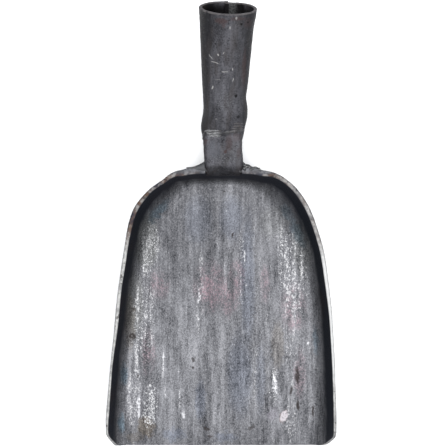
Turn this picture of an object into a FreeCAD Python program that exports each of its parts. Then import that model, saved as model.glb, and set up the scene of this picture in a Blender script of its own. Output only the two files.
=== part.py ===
"""Feed scoop: a dished iron pan on a short neck, with a rolled socket for a wooden handle.

Millimetres. +Z is up, the pan's floor rests on z = 0, the open lip faces -Y and the socket rises to +Y.
The origin is the middle of the footprint. Every size is a cell of the Dimensions sheet.
"""
import FreeCAD, Part
import math
import os

import Sketcher

V = FreeCAD.Vector
START, END, CENTRE = 1, 2, 3
ORIGIN = (-1, 1)
BEND_STEPS = 3
CUT_LENGTH = 200
LEAST_CUT = 1.0
TOUCH = 1e-3

# alias, value, what it is
DIMENSIONS = [
    ("lip_y", 166.3, "distance of the open lip from the origin"),
    ("cavity_run_out", 12.0, "how far the cavity tool passes the lip"),
    ("pan_shift", 0.6, "pan centre line from the origin, towards +X"),
    ("back_x", 2.0, "middle of the back wall from the pan's centre line, towards +X"),
    ("sheet_thickness", 2.3, "pan sheet"),
    ("rim_height", 34.0, "top of the back wall"),
    ("rim_fall", 1.5, "fall of the rim line towards the lip, degrees"),
    ("bend_inside", 5.0, "inside bend radius, floor to wall"),
    ("bend_outside", 6.5, "outside bend radius, floor to wall"),
    ("wall_splay", 12.0, "lean of the walls out of upright, degrees"),
    # outline of the flat floor, where it meets the inside of the wall
    ("floor_left", 80.2, "half width at the lip, left"),
    ("floor_right", 73.9, "half width at the lip, right"),
    ("floor_left_lean", 2.1, "flare of the left side at the lip, degrees"),
    ("floor_right_lean", -3.5, "flare of the right side at the lip, degrees"),
    ("floor_left_side", 1030.0, "radius of the left side"),
    ("floor_right_side", 660.0, "radius of the right side"),
    ("floor_left_shoulder", 44.0, "radius of the left shoulder"),
    ("floor_right_shoulder", 53.0, "radius of the right shoulder"),
    ("floor_back", 230.0, "radius of the back"),
    ("floor_back_y", 36.0, "back of the floor from the origin"),
    # outline of the inside of the wall at the rim height
    ("inner_left", 88.0, "half width at the lip, left"),
    ("inner_right", 85.0, "half width at the lip, right"),
    ("inner_left_lean", 4.7, "flare of the left side at the lip, degrees"),
    ("inner_right_lean", -0.9, "flare of the right side at the lip, degrees"),
    ("inner_left_side", 1800.0, "radius of the left side"),
    ("inner_right_side", 720.0, "radius of the right side"),
    ("inner_left_shoulder", 46.5, "radius of the left shoulder"),
    ("inner_right_shoulder", 47.5, "radius of the right shoulder"),
    ("inner_back", 230.0, "radius of the back"),
    ("inner_back_y", 40.9, "inside of the back wall from the origin"),
    # outline of the outside of the wall at the rim height
    ("outer_left", 89.5, "half width at the lip, left"),
    ("outer_right", 87.3, "half width at the lip, right"),
    ("outer_left_lean", 3.7, "flare of the left side at the lip, degrees"),
    ("outer_right_lean", 0.0, "flare of the right side at the lip, degrees"),
    ("outer_left_side", 1600.0, "radius of the left side"),
    ("outer_right_side", 850.0, "radius of the right side"),
    ("outer_left_shoulder", 55.0, "radius of the left shoulder"),
    ("outer_right_shoulder", 52.5, "radius of the right shoulder"),
    ("outer_back", 170.0, "radius of the back"),
    ("outer_back_y", 46.2, "outside of the back wall from the origin"),
    # front corners of the side walls, seen from the side
    ("corner_left_angle", 66.0, "slope of the left corner, degrees"),
    ("corner_left_radius", 20.0, "rounding of the left corner"),
    ("corner_right_angle", 68.0, "slope of the right corner, degrees"),
    ("corner_right_radius", 18.0, "rounding of the right corner"),
    # neck
    ("neck_x", 1.5, "neck centre line"),
    ("neck_width", 29.0, "neck width"),
    ("neck_thickness", 9.0, "neck thickness"),
    ("neck_edge", 2.5, "rounding along the neck's edges"),
    ("neck_roll", 14.0, "outside radius where the neck rolls over the rim"),
    ("roll_start", 26.5, "height on the back wall where the roll starts"),
    ("notch_height", 14.0, "bottom of the notch that takes the neck's foot"),
    ("neck_rise", 21.0, "rise of the handle line, degrees"),
    ("neck_straight", 13.8, "straight length of the neck above the roll"),
    # socket, measured along its own axis from the toe towards the mouth
    ("socket_x", 1.2, "toe centre from the origin, towards +X"),
    ("socket_face", 14.5, "neck face above the socket's axis"),
    ("socket_yaw", 2.15, "turn of the socket to the right, degrees"),
    ("socket_length", 100.0, "toe to mouth"),
    ("socket_wall", 2.2, "rolled sheet"),
    ("toe_half_width", 14.6, "toe section, half width"),
    ("toe_half_height", 7.5, "toe section, half height"),
    ("toe_proud", 0.5, "toe section above the neck face"),
    ("shoulder_at", 15.0, "where the toe starts to close"),
    ("shoulder_radius", 16.7, "socket radius at the shoulder"),
    ("hollow_at", 19.0, "closed end of the hollow"),
    ("waist_at", 29.5, "narrowest place above the shoulder"),
    ("waist_radius", 16.1, "socket radius at the waist"),
    ("turn_at", 90.5, "where the mouth starts to turn out"),
    ("turn_radius", 19.9, "socket radius below the turned mouth"),
    ("mouth_radius", 21.3, "socket radius at the mouth"),
    ("mouth_edge", 0.7, "rounding of the mouth's edges"),
    ("seam_at_mouth", 2.4, "seam gap at the mouth"),
    ("seam_at_toe", 0.8, "seam gap at the closed end"),
    # welds
    ("bead_width", 4.5, "width of the socket bead, each side of the joint"),
    ("bead_proud", 0.9, "height of the socket bead"),
    ("bead_middle", 5.2, "middle of the bead's socket end above the socket's axis"),
    ("fillet_reach", 13.0, "reach of the rim welds along the rim"),
    ("fillet_rise", 6.5, "reach of the rim welds along the neck"),
    ("fillet_low", 25.0, "bottom of the rim welds"),
    ("fillet_top", 35.0, "top of the rim welds"),
    ("fillet_hollow", 16.0, "radius of the rim welds' hollow face"),
    ("foot_bead", 3.4, "reach of the bead round the neck's foot"),
    ("foot_bead_height", 15.0, "height of that bead's two legs"),
    ("foot_bead_edge", 0.4, "width of the foot bead's flat top round the neck"),
    ("bead_swell", 1.4, "height of the socket bead beside the toe"),
    ("fillet_overlap", 1.0, "how far the rim welds' blanks reach into the neck"),
    ("fillet_tail", 2.0, "how far the rim welds end inside the rim's outer edge"),
    # room for cutting tools
    ("cut_run_out", 20.0, "how far the rim cuts reach past the pan"),
    ("headroom", 30.0, "how far the cuts reach above the rim"),
    ("notch_depth", 10.0, "how far the notch tool starts in front of the back wall"),
    ("seam_run_out", 1.0, "how far the seam passes the closed end and the mouth"),
]

doc = FreeCAD.newDocument("feed_scoop")
sheet = doc.addObject("Spreadsheet::Sheet", "Dimensions")
for row, (alias, value, meaning) in enumerate(DIMENSIONS, start=1):
    sheet.set(f"A{row}", alias)
    sheet.set(f"B{row}", str(value))
    sheet.set(f"C{row}", meaning)
    sheet.setAlias(f"B{row}", alias)
doc.recompute()


def size(alias):
    """A number from the sheet."""
    return float(sheet.get(alias))


def cell(expression):
    """An expression on the sheet's cells, each written as {alias}."""
    for alias, _, _ in DIMENSIONS:
        expression = expression.replace("{" + alias + "}", "Dimensions." + alias)
    return expression


# ---------------------------------------------------------------- bodies and sketches

def new_body(label):
    body = doc.addObject("PartDesign::Body", label)
    body.Label = label
    return body


def new_sketch(body, name, role, offset=""):
    """A sketch on one of the body's own origin planes, moved along the plane's normal by an expression."""
    sketch = body.newObject("Sketcher::SketchObject", name)
    plane = next(f for f in body.Origin.OriginFeatures if f.Role == role)
    sketch.AttachmentSupport = [(plane, "")]
    sketch.MapMode = "FlatFace"
    if offset:
        sketch.setExpression("AttachmentOffset.Base.z", cell(offset))
    return sketch


def number(item, expression):
    """The value of an expression on the sheet's cells."""
    value = item.evalExpression(cell(expression))
    return float(getattr(value, "Value", value))


def drive(sketch, kind, references, expression):
    """Add a dimension that follows an expression on the sheet's cells."""
    value = number(sketch, expression)
    if kind == "Angle":
        value = math.radians(value)
    index = sketch.addConstraint(Sketcher.Constraint(kind, *references, value))
    sketch.setExpression(f"Constraints[{index}]", cell(expression))
    return index


def pin_point(sketch, edge, end, across, up):
    """Tie one end of an edge to the sketch origin by two expressions, either of which may be negative."""
    for kind, expression in (("DistanceX", across), ("DistanceY", up)):
        if number(sketch, expression) < 0:
            drive(sketch, kind, (edge, end, *ORIGIN), f"-({expression})")
        else:
            drive(sketch, kind, (*ORIGIN, edge, end), expression)


def moved(point, distance, angle):
    """The point a distance away in a direction, all as expressions."""
    return f"({point[0]} + {distance} * cos({angle}))", f"({point[1]} + {distance} * sin({angle}))"


def profile(sketch, corners, arcs=()):
    """Closed outline through corners given as expressions.

    arcs maps a corner's number to (radius, turn): the edge that leaves it is an arc,
    turning left (1) or right (-1).
    """
    spots = [V(number(sketch, across), number(sketch, up)) for across, up in corners]
    arcs = dict(arcs)
    edges, ends = [], []
    for index, start in enumerate(spots):
        end = spots[(index + 1) % len(spots)]
        if index not in arcs:
            edges.append(sketch.addGeometry(Part.LineSegment(start, end)))
            ends.append((START, END))
            continue
        radius_expression, turn = arcs[index]
        radius, chord = number(sketch, radius_expression), end - start
        across = V(-chord.y, chord.x) / chord.Length
        centre = (start + end) / 2 + across * (turn * math.sqrt(radius**2 - chord.Length**2 / 4))
        angles = [math.atan2(spot.y - centre.y, spot.x - centre.x) for spot in (start, end)]
        circle = Part.Circle(centre, V(0, 0, 1), radius)
        edges.append(sketch.addGeometry(Part.ArcOfCircle(circle, *angles[::turn])))
        ends.append((START, END)[::turn])
        drive(sketch, "Radius", (edges[-1],), radius_expression)
    for index, edge in enumerate(edges):
        before = index - 1
        sketch.addConstraint(
            Sketcher.Constraint("Coincident", edges[before], ends[before][1], edge, ends[index][0])
        )
        pin_point(sketch, edge, ends[index][0], *corners[index])
    return sketch


def feature(body, kind, name, **properties):
    """A body feature; a text value that starts with = is an expression on the sheet's cells."""
    item = body.newObject(kind, name)
    for key, value in properties.items():
        if isinstance(value, str) and value.startswith("="):
            item.setExpression(key, cell(value[1:]))
        else:
            setattr(item, key, value)
    body.Tip = item
    doc.recompute()
    return item


def must_remove(body, name, before):
    """A cut that takes nothing away is an error."""
    if body.Shape.Volume > before - LEAST_CUT:
        raise RuntimeError(f"{name} removed nothing from {body.Label}")


# ---------------------------------------------------------------- pan

def side_arcs(outline, side, grow):
    """Centres of one side's three arcs and the angles at which they meet."""
    half_width = size(f"{outline}_{side}") + grow
    lean = math.radians(size(f"{outline}_{side}_lean"))
    side_radius = size(f"{outline}_{side}_side") + grow
    shoulder = size(f"{outline}_{side}_shoulder") + grow
    back = size(f"{outline}_back") + grow
    side_centre = V(half_width - side_radius * math.cos(lean), -size("lip_y") - side_radius * math.sin(lean))
    back_x = size("back_x") * (1 if side == "right" else -1)
    back_centre = V(back_x, size(f"{outline}_back_y") + grow - back)
    to_back = back_centre - side_centre
    reach_side, reach_back, gap = side_radius - shoulder, back - shoulder, to_back.Length
    # the shoulder's centre is reach_side from one centre and reach_back from the other
    along = (reach_side**2 - reach_back**2 + gap**2) / (2 * gap)
    off = math.sqrt(reach_side**2 - along**2)
    forward = to_back / gap
    for turn in (1, -1):
        centre = side_centre + forward * along + V(-forward.y, forward.x) * (turn * off)
        first = math.atan2(centre.y - side_centre.y, centre.x - side_centre.x)
        second = math.atan2(centre.y - back_centre.y, centre.x - back_centre.x)
        if 0 <= first <= second <= math.pi / 2:
            return side_centre, centre, first, second
    raise RuntimeError(f"the {side} arcs of {outline} do not meet")


def pan_outline(body, name, outline, level, grow="0", run_out="0"):
    """Closed outline: right side, right shoulder, back, left shoulder, left side, and the straight front.

    level is the outline's height, grow moves it outwards all round, and run_out carries it past the lip.
    """
    sketch = new_sketch(body, name, "XY_Plane", level)
    more, front_y = number(sketch, grow), number(sketch, f"-{{lip_y}} - {run_out}")
    angles, centres, radii = [], [], []
    for side in ("right", "left"):
        side_centre, shoulder_centre, first, second = side_arcs(outline, side, more)
        side_radius = size(f"{outline}_{side}_side") + more
        start = math.asin((front_y - side_centre.y) / side_radius)
        angles.append((start, first, second))
        centres.append((side_centre, shoulder_centre))
        radii.append((side_radius, size(f"{outline}_{side}_shoulder") + more))
    (right_start, right_first, right_second), (left_start, left_first, left_second) = angles
    back = size(f"{outline}_back") + more
    back_centre = V(size("back_x"), size(f"{outline}_back_y") + more - back)

    def arc(centre, radius, start, end):
        circle = Part.Circle(centre, V(0, 0, 1), radius)
        return sketch.addGeometry(Part.ArcOfCircle(circle, start, end))

    def mirrored(point):
        return V(-point.x, point.y)

    arcs = [
        arc(centres[0][0], radii[0][0], right_start, right_first),
        arc(centres[0][1], radii[0][1], right_first, right_second),
        arc(back_centre, back, right_second, math.pi - left_second),
        arc(mirrored(centres[1][1]), radii[1][1], math.pi - left_second, math.pi - left_first),
        arc(mirrored(centres[1][0]), radii[1][0], math.pi - left_first, math.pi - left_start),
    ]
    corner_right = centres[0][0].x + radii[0][0] * math.cos(right_start)
    corner_left = -centres[1][0].x - radii[1][0] * math.cos(left_start)
    front = sketch.addGeometry(Part.LineSegment(V(corner_left, front_y), V(corner_right, front_y)))

    for first, second in zip(arcs, arcs[1:]):
        sketch.addConstraint(Sketcher.Constraint("Tangent", first, END, second, START))
    sketch.addConstraint(Sketcher.Constraint("Coincident", arcs[-1], END, front, START))
    sketch.addConstraint(Sketcher.Constraint("Coincident", front, END, arcs[0], START))
    sketch.addConstraint(Sketcher.Constraint("Horizontal", front))
    for edge, alias in zip(arcs, ("right_side", "right_shoulder", "back", "left_shoulder", "left_side")):
        drive(sketch, "Radius", (edge,), f"{{{outline}_{alias}}} + {grow}")
    drive(sketch, "DistanceY", (front, START, *ORIGIN), f"{{lip_y}} + {run_out}")
    for edge, side, hand in ((arcs[0], "right", -1), (arcs[-1], "left", 1)):
        radius, lean = f"({{{outline}_{side}_side}} + {grow})", f"({{{outline}_{side}_lean}} * 1 deg)"
        across = f"({radius} * cos{lean} - {{{outline}_{side}}} - {grow})"
        pin_point(sketch, edge, CENTRE, f"{hand} * {across}", f"-{{lip_y}} - {radius} * sin{lean}")
    pin_point(sketch, arcs[2], CENTRE, "{back_x}", f"{{{outline}_back_y}} - {{{outline}_back}}")
    return sketch


def wall_top(body, side):
    """Cut one side wall down to the rim line, with its rounded front corner."""
    sketch = new_sketch(body, f"rim_line_{side}", "YZ_Plane")
    fall, slope = "({rim_fall} * 1 deg)", f"({{corner_{side}_angle}} * 1 deg)"
    radius = f"{{corner_{side}_radius}}"
    tangent = f"({radius} * tan(({slope} - {fall}) / 2))"
    rim_at_lip = f"({{rim_height}} - tan{fall} * ({{outer_back_y}} + {{lip_y}}))"
    run = f"(({rim_at_lip} - {{sheet_thickness}}) / (tan{slope} - tan{fall}))"
    corner = (f"(-{{lip_y}} + {run})", f"({rim_at_lip} + tan{fall} * {run})")
    beyond, sky = "(-{lip_y} - {cut_run_out})", "({rim_height} + {headroom})"
    back = ("({outer_back_y} + {cut_run_out})", f"({{rim_height}} + tan{fall} * {{cut_run_out}})")
    corners = [
        moved(corner, tangent, fall),
        back,
        (back[0], sky),
        (beyond, sky),
        (beyond, "{sheet_thickness}"),
        ("(-{lip_y})", "{sheet_thickness}"),
        moved(corner, f"(-{tangent})", slope),
    ]
    profile(sketch, corners, {6: (radius, -1)})
    before = body.Shape.Volume
    feature(body, "PartDesign::Pocket", f"rim_cut_{side}", Profile=sketch, Length=CUT_LENGTH,
            Reversed=side == "right")
    must_remove(body, sketch.Name, before)


def neck_notch(body):
    """Notch in the back wall that takes the neck's foot."""
    sketch = new_sketch(body, "notch_outline", "XZ_Plane", "-{floor_back_y} + {notch_depth}")
    left = "({neck_x} - {pan_shift} - {neck_width} / 2)"
    right = "({neck_x} - {pan_shift} + {neck_width} / 2)"
    sky = "({rim_height} + {headroom})"
    profile(sketch, [(left, "{notch_height}"), (right, "{notch_height}"), (right, sky), (left, sky)])
    before = body.Shape.Volume
    feature(body, "PartDesign::Pocket", "notch", Profile=sketch, Length=CUT_LENGTH, Reversed=False)
    must_remove(body, "notch", before)


def bend(body, name, outline, floor_level, radius, grow, run_out="0"):
    """Outlines that carry the flat floor round its bend on to the foot of the walls."""
    sketches = []
    corner = f"{radius} * tan(45 deg - {{wall_splay}} * 0.5 deg)"
    for step in range(BEND_STEPS + 1):
        turn = f"((90 - {{wall_splay}}) * {step / BEND_STEPS} * 1 deg)"
        level = f"{floor_level} + {radius} * (1 - cos{turn})"
        inset = f"({grow} - {corner} + {radius} * sin{turn})"
        sketches.append(pan_outline(body, f"{name}_{step}", outline, level, inset, run_out))
    return sketches


def make_pan():
    body = new_body("pan")
    foot, *outside = bend(body, "outside_bend", "floor", "0", "{bend_outside}", "{sheet_thickness}")
    outside.append(pan_outline(body, "outer_rim", "outer", "{rim_height}"))
    feature(body, "PartDesign::AdditiveLoft", "dish", Profile=foot, Sections=outside, Ruled=True)
    floor, *inside = bend(body, "inside_bend", "floor", "{sheet_thickness}", "{bend_inside}", "0",
                          "{cavity_run_out}")
    inside.append(pan_outline(body, "inner_rim", "inner", "{rim_height}", "0", "{cavity_run_out}"))
    before = body.Shape.Volume
    feature(body, "PartDesign::SubtractiveLoft", "hollow", Profile=floor, Sections=inside, Ruled=True)
    must_remove(body, "hollow", before)
    wall_top(body, "left")
    wall_top(body, "right")
    neck_notch(body)
    body.setExpression("Placement.Base.x", cell("{pan_shift}"))
    return body


# ---------------------------------------------------------------- neck

WALL_LINE = "atan({rim_height} / ({inner_back_y} - {floor_back_y}))"
RISE = "({neck_rise} * 1 deg)"


def on_wall(height):
    """The point of the back wall's inside at a height, seen from the side."""
    return f"({{floor_back_y}} + {height} / tan({WALL_LINE}))", height


ROLL_START = on_wall("{roll_start}")
ROLL_CENTRE = moved(ROLL_START, "{neck_roll}", f"{WALL_LINE} - 90 deg")
ROLL_END = moved(ROLL_CENTRE, "{neck_roll}", f"{RISE} + 90 deg")
FACE_END = moved(ROLL_END, "{neck_straight}", RISE)


def long_edges(shape, sketch):
    """Names of the bar's long edges: those in its two side planes that are not at the bar's ends."""
    names = []
    half_width = size("neck_width") / 2
    bottom = size("notch_height")
    toe = V(0, number(sketch, FACE_END[0]), number(sketch, FACE_END[1]))
    rise = math.radians(size("neck_rise"))
    along = V(0, math.cos(rise), math.sin(rise))
    for index, edge in enumerate(shape.Edges, start=1):
        box = edge.BoundBox
        in_side_plane = box.XLength < TOUCH and abs(abs(box.XMin) - half_width) < TOUCH
        at_foot = box.ZMax < bottom + TOUCH
        at_toe = all(abs((vertex.Point - toe).dot(along)) < TOUCH for vertex in edge.Vertexes)
        if in_side_plane and not at_foot and not at_toe:
            names.append(f"Edge{index}")
    return names


def make_neck():
    """Side-view outline of the bar: foot in the wall, roll over the rim, straight run to the socket."""
    body = new_body("neck")
    sketch = new_sketch(body, "neck_side", "YZ_Plane")
    back_of_foot = moved(ROLL_START, "{neck_thickness}", f"{WALL_LINE} - 90 deg")
    foot_y = f"({back_of_foot[0]} - ({back_of_foot[1]} - {{notch_height}}) / tan({WALL_LINE}))"
    corners = [
        on_wall("{notch_height}"),
        ROLL_START,
        ROLL_END,
        FACE_END,
        moved(FACE_END, "{neck_thickness}", f"{RISE} - 90 deg"),
        moved(ROLL_END, "{neck_thickness}", f"{RISE} - 90 deg"),
        back_of_foot,
        (foot_y, "{notch_height}"),
    ]
    profile(sketch, corners, {1: ("{neck_roll}", -1), 5: ("({neck_roll} - {neck_thickness})", 1)})
    feature(body, "PartDesign::Pad", "bar", Profile=sketch, Length="={neck_width}", Midplane=True)
    edges = long_edges(body.Shape, sketch)
    feature(body, "PartDesign::Fillet", "worn_edges", Base=(body.Tip, edges), Radius="={neck_edge}")
    body.setExpression("Placement.Base.x", cell("{neck_x}"))
    return body


# ---------------------------------------------------------------- socket

def place_on_handle_line(body):
    """Put a body's own +Y on the handle line, with its origin at the socket's toe."""
    toe = moved(FACE_END, "{socket_face}", f"{RISE} - 90 deg")
    turn = FreeCAD.Rotation(V(0, 0, 1), -size("socket_yaw"))
    lift = FreeCAD.Rotation(V(1, 0, 0), size("neck_rise"))
    start = V(size("socket_x"), number(body, toe[0]), number(body, toe[1]))
    body.Placement = FreeCAD.Placement(start, turn * lift)


def oval(body, name, along, half_width, half_height, above):
    """An ellipse or circle square to the socket's axis, its centre above it by a given amount."""
    sketch = new_sketch(body, name, "XZ_Plane", f"-({along})")
    wide, high = number(sketch, half_width), number(sketch, half_height)
    centre = V(0, number(sketch, above))
    if half_width == half_height:
        circle = sketch.addGeometry(Part.Circle(centre, V(0, 0, 1), wide))
        pin_point(sketch, circle, CENTRE, "0", above)
        drive(sketch, "Radius", (circle,), half_width)
        return sketch
    ellipse = sketch.addGeometry(Part.Ellipse(centre, wide, high))
    sketch.exposeInternalGeometry(ellipse)
    pin_point(sketch, ellipse, CENTRE, "0", above)
    major, minor = ellipse + 1, ellipse + 2
    sketch.addConstraint(Sketcher.Constraint("Horizontal", major))
    drive(sketch, "Distance", (major,), f"2 * {half_width}")
    drive(sketch, "Distance", (minor,), f"2 * {half_height}")
    return sketch


def make_socket():
    body = new_body("socket")
    sketch = new_sketch(body, "socket_wall_section", "YZ_Plane")
    outside = [("{shoulder_at}", "{shoulder_radius}"), ("{waist_at}", "{waist_radius}"),
               ("{turn_at}", "{turn_radius}"), ("{socket_length}", "{mouth_radius}")]
    inside = [(along, f"({radius} - {{socket_wall}})") for along, radius in reversed(outside[1:])]
    inside.append(("{hollow_at}", "({shoulder_radius} - {socket_wall})"))
    closed_end = [("{hollow_at}", "0"), ("{shoulder_at}", "0")]
    profile(sketch, outside + inside + closed_end)
    feature(body, "PartDesign::Revolution", "rolled_sheet", Profile=sketch,
            ReferenceAxis=(sketch, ["H_Axis"]), Angle=360)
    mouth = [f"Edge{index}" for index, edge in enumerate(body.Shape.Edges, start=1)
             if abs(edge.BoundBox.YMin - size("socket_length")) < TOUCH]
    feature(body, "PartDesign::Fillet", "mouth_edges", Base=(body.Tip, mouth), Radius="={mouth_edge}")
    shoulder = oval(body, "shoulder_section", "{shoulder_at}", "{shoulder_radius}", "{shoulder_radius}", "0")
    toe = oval(body, "toe_section", "0", "{toe_half_width}", "{toe_half_height}",
               "({socket_face} + {toe_proud} - {toe_half_height})")
    feature(body, "PartDesign::AdditiveLoft", "closed_toe", Profile=shoulder, Sections=[toe], Ruled=True)
    seam = new_sketch(body, "seam_outline", "XY_Plane")
    start, end = "({hollow_at} + {seam_run_out})", "({socket_length} + {seam_run_out})"
    profile(seam, [("(-{seam_at_toe} / 2)", start), ("({seam_at_toe} / 2)", start),
                   ("({seam_at_mouth} / 2)", end), ("(-{seam_at_mouth} / 2)", end)])
    before = body.Shape.Volume
    feature(body, "PartDesign::Pocket", "seam", Profile=seam, Length=CUT_LENGTH, Reversed=False)
    must_remove(body, "seam", before)
    in_seam = V(0, size("waist_at"), size("seam_at_toe") - size("waist_radius"))
    if body.Shape.isInside(in_seam, TOUCH, True):
        raise RuntimeError("the seam is not on the underside")
    place_on_handle_line(body)
    return body


# ---------------------------------------------------------------- welds

def trimmed(label, blank, *neighbours):
    """The weld metal: its blank less the pieces it lies on."""
    shape = blank
    for index, neighbour in enumerate(neighbours):
        cut = doc.addObject("Part::Cut", f"{label}_{index}")
        cut.Base, cut.Tool = shape, neighbour
        shape = cut
    shape.Label = label
    doc.recompute()
    return shape


def make_socket_weld():
    """A bead all round the joint between toe and neck."""
    body = new_body("socket_bead_blank")
    middle = "({socket_face} + {toe_proud} - {toe_half_height})"
    near_neck = oval(body, "bead_near_neck", "-{bead_width}", "({neck_width} / 2 + {bead_proud})",
                     "({neck_thickness} / 2 + 2 * {bead_swell})", "({socket_face} - {neck_thickness} / 2)")
    crown = oval(body, "bead_crown", "0", "({toe_half_width} + {bead_proud})",
                 "({toe_half_height} + {bead_proud})", middle)
    near_toe = oval(body, "bead_near_toe", "{bead_width}", "({toe_half_width} + {bead_proud})",
                    "({toe_half_height} + 2 * {bead_swell})", "{bead_middle}")
    feature(body, "PartDesign::AdditiveLoft", "bead", Profile=near_neck, Sections=[crown, near_toe],
            Ruled=True)
    place_on_handle_line(body)
    return trimmed("socket_weld", body, neck, socket)


def make_rim_weld(side):
    """A hollow-faced fillet between the neck's edge and the rim, seen from above."""
    body = new_body(f"rim_bead_blank_{side}")
    sketch = new_sketch(body, f"rim_bead_{side}", "XY_Plane", "{fillet_low}")
    out = {"left": "-1", "right": "1"}[side]
    turn = {"left": 1, "right": -1}[side]
    edge, tip = "({neck_width} / 2 - {fillet_overlap})", "({neck_width} / 2 + {fillet_reach})"
    rim_y, neck_y = "{outer_back_y}", "({outer_back_y} + {fillet_rise})"
    corners = [(f"({out} * {edge})", "{inner_back_y}"), (f"({out} * {tip})", "{inner_back_y}"),
               (f"({out} * {tip})", f"({rim_y} - {{fillet_tail}})"), (f"({out} * {edge})", neck_y)]
    profile(sketch, corners, {2: ("{fillet_hollow}", -turn)})
    feature(body, "PartDesign::Pad", f"bead_{side}", Profile=sketch, Length="={fillet_top} - {fillet_low}")
    body.setExpression("Placement.Base.x", cell("{neck_x}"))
    return trimmed(f"rim_weld_{side}", body, pan, neck)


def make_foot_weld():
    """A sloping bead round three sides of the foot, on the outside of the back wall."""
    body = new_body("foot_bead_blank")
    outside_line = "atan({rim_height} / ({outer_back_y} - {floor_back_y} - {sheet_thickness}))"
    levels = (("0", "{foot_bead}"), ("{foot_bead}", "{foot_bead_edge}"))
    outlines = []
    for index, (level, reach) in enumerate(levels):
        sketch = new_sketch(body, f"foot_bead_{index}", "XY_Plane", level)
        half, low = f"({{neck_width}} / 2 + {reach})", f"(-{reach})"
        outlines.append(profile(sketch, [(f"(-{half})", low), (half, low), (half, "{foot_bead_height}"),
                                         (f"(-{half})", "{foot_bead_height}")]))
    feature(body, "PartDesign::AdditiveLoft", "foot_bead_loft", Profile=outlines[0],
            Sections=outlines[1:], Ruled=True)
    wall = number(body, outside_line)
    run = size("notch_height") / math.tan(math.radians(wall))
    foot_y = size("floor_back_y") + size("sheet_thickness") + run
    turn = FreeCAD.Rotation(V(1, 0, 0), wall) * FreeCAD.Rotation(V(0, 1, 0), 180)
    body.Placement = FreeCAD.Placement(V(size("neck_x"), foot_y, size("notch_height")), turn)
    return trimmed("foot_weld", body, pan, neck)


pan = make_pan()
neck = make_neck()
socket = make_socket()
pieces = [pan, neck, socket, make_socket_weld(), make_rim_weld("left"), make_rim_weld("right"),
          make_foot_weld()]
doc.recompute()

failed = [item.Label for item in doc.Objects if {"Invalid", "Error"} & set(item.State)]
if failed:
    raise RuntimeError(f"failed objects: {failed}")
os.makedirs("parts", exist_ok=True)
for piece in pieces:
    shape = piece.Shape
    if shape.isNull() or not shape.isValid() or not shape.Solids:
        raise RuntimeError(f"{piece.Label} has no valid solid")
    shape.exportStep(f"parts/{piece.Label}.step")
    box = shape.BoundBox
    spans = [f"{low:7.1f} {high:7.1f}" for low, high in
             ((box.XMin, box.XMax), (box.YMin, box.YMax), (box.ZMin, box.ZMax))]
    print(f"{piece.Label:16s} {len(shape.Solids)} solid {shape.Volume / 1000:8.2f} cm3", *spans, sep="  ")
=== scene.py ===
# %% [markdown]
# # A forged iron feed scoop
# The scoop is a dished pan, a flat neck that rolls over its back rim, and a socket rolled from sheet for
# a wooden handle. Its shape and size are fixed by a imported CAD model. This lesson rebuilds each piece as
# a finer mesh in the same place, and then gives the iron its wear, scale, rust and scratches.

# %% Load the frame
import math
import bmesh
import bpy
import numpy as np
from mathutils import Matrix, Vector, noise


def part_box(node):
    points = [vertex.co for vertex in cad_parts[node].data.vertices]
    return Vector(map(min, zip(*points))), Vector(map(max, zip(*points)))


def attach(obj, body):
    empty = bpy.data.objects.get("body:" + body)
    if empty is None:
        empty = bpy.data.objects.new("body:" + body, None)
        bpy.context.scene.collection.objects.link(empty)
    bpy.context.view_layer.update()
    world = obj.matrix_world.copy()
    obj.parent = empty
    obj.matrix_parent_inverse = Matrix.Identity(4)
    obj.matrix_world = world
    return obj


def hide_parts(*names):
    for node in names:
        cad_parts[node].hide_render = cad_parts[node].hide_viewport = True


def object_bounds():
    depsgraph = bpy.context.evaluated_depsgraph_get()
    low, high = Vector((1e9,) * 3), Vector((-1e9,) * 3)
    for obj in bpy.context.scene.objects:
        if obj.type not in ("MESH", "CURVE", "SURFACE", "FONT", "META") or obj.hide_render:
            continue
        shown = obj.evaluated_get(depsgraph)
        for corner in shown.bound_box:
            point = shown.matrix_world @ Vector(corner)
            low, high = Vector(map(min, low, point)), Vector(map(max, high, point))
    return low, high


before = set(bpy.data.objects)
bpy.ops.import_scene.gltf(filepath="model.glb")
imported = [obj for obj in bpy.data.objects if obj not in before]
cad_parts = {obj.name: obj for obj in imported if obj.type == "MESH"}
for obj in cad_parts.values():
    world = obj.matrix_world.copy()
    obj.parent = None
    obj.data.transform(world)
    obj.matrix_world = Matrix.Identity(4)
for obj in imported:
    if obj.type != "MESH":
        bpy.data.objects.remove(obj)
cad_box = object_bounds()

MM = 0.001
print("CAD nodes:", sorted(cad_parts))
print("CAD box, mm:", [[round(value / MM, 1) for value in corner] for corner in cad_box])

# %% [markdown]
# ## Formulas instead of wires
# Node trees are easier to read as sums than as boxes and wires. A Wire is one socket of a tree. Adding or
# multiplying wires adds Math nodes, so a line such as `1 - mask` builds its own nodes. The same class
# serves materials and Geometry Nodes, because both use the same Math, Mix and texture nodes.

# %% The Wire class
def named_input(node, key):
    """A node's input by number or by name, passing over the inputs that its settings switch off."""
    if isinstance(key, int):
        return node.inputs[key]
    return next(socket for socket in node.inputs if socket.name == key and socket.enabled)


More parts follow.
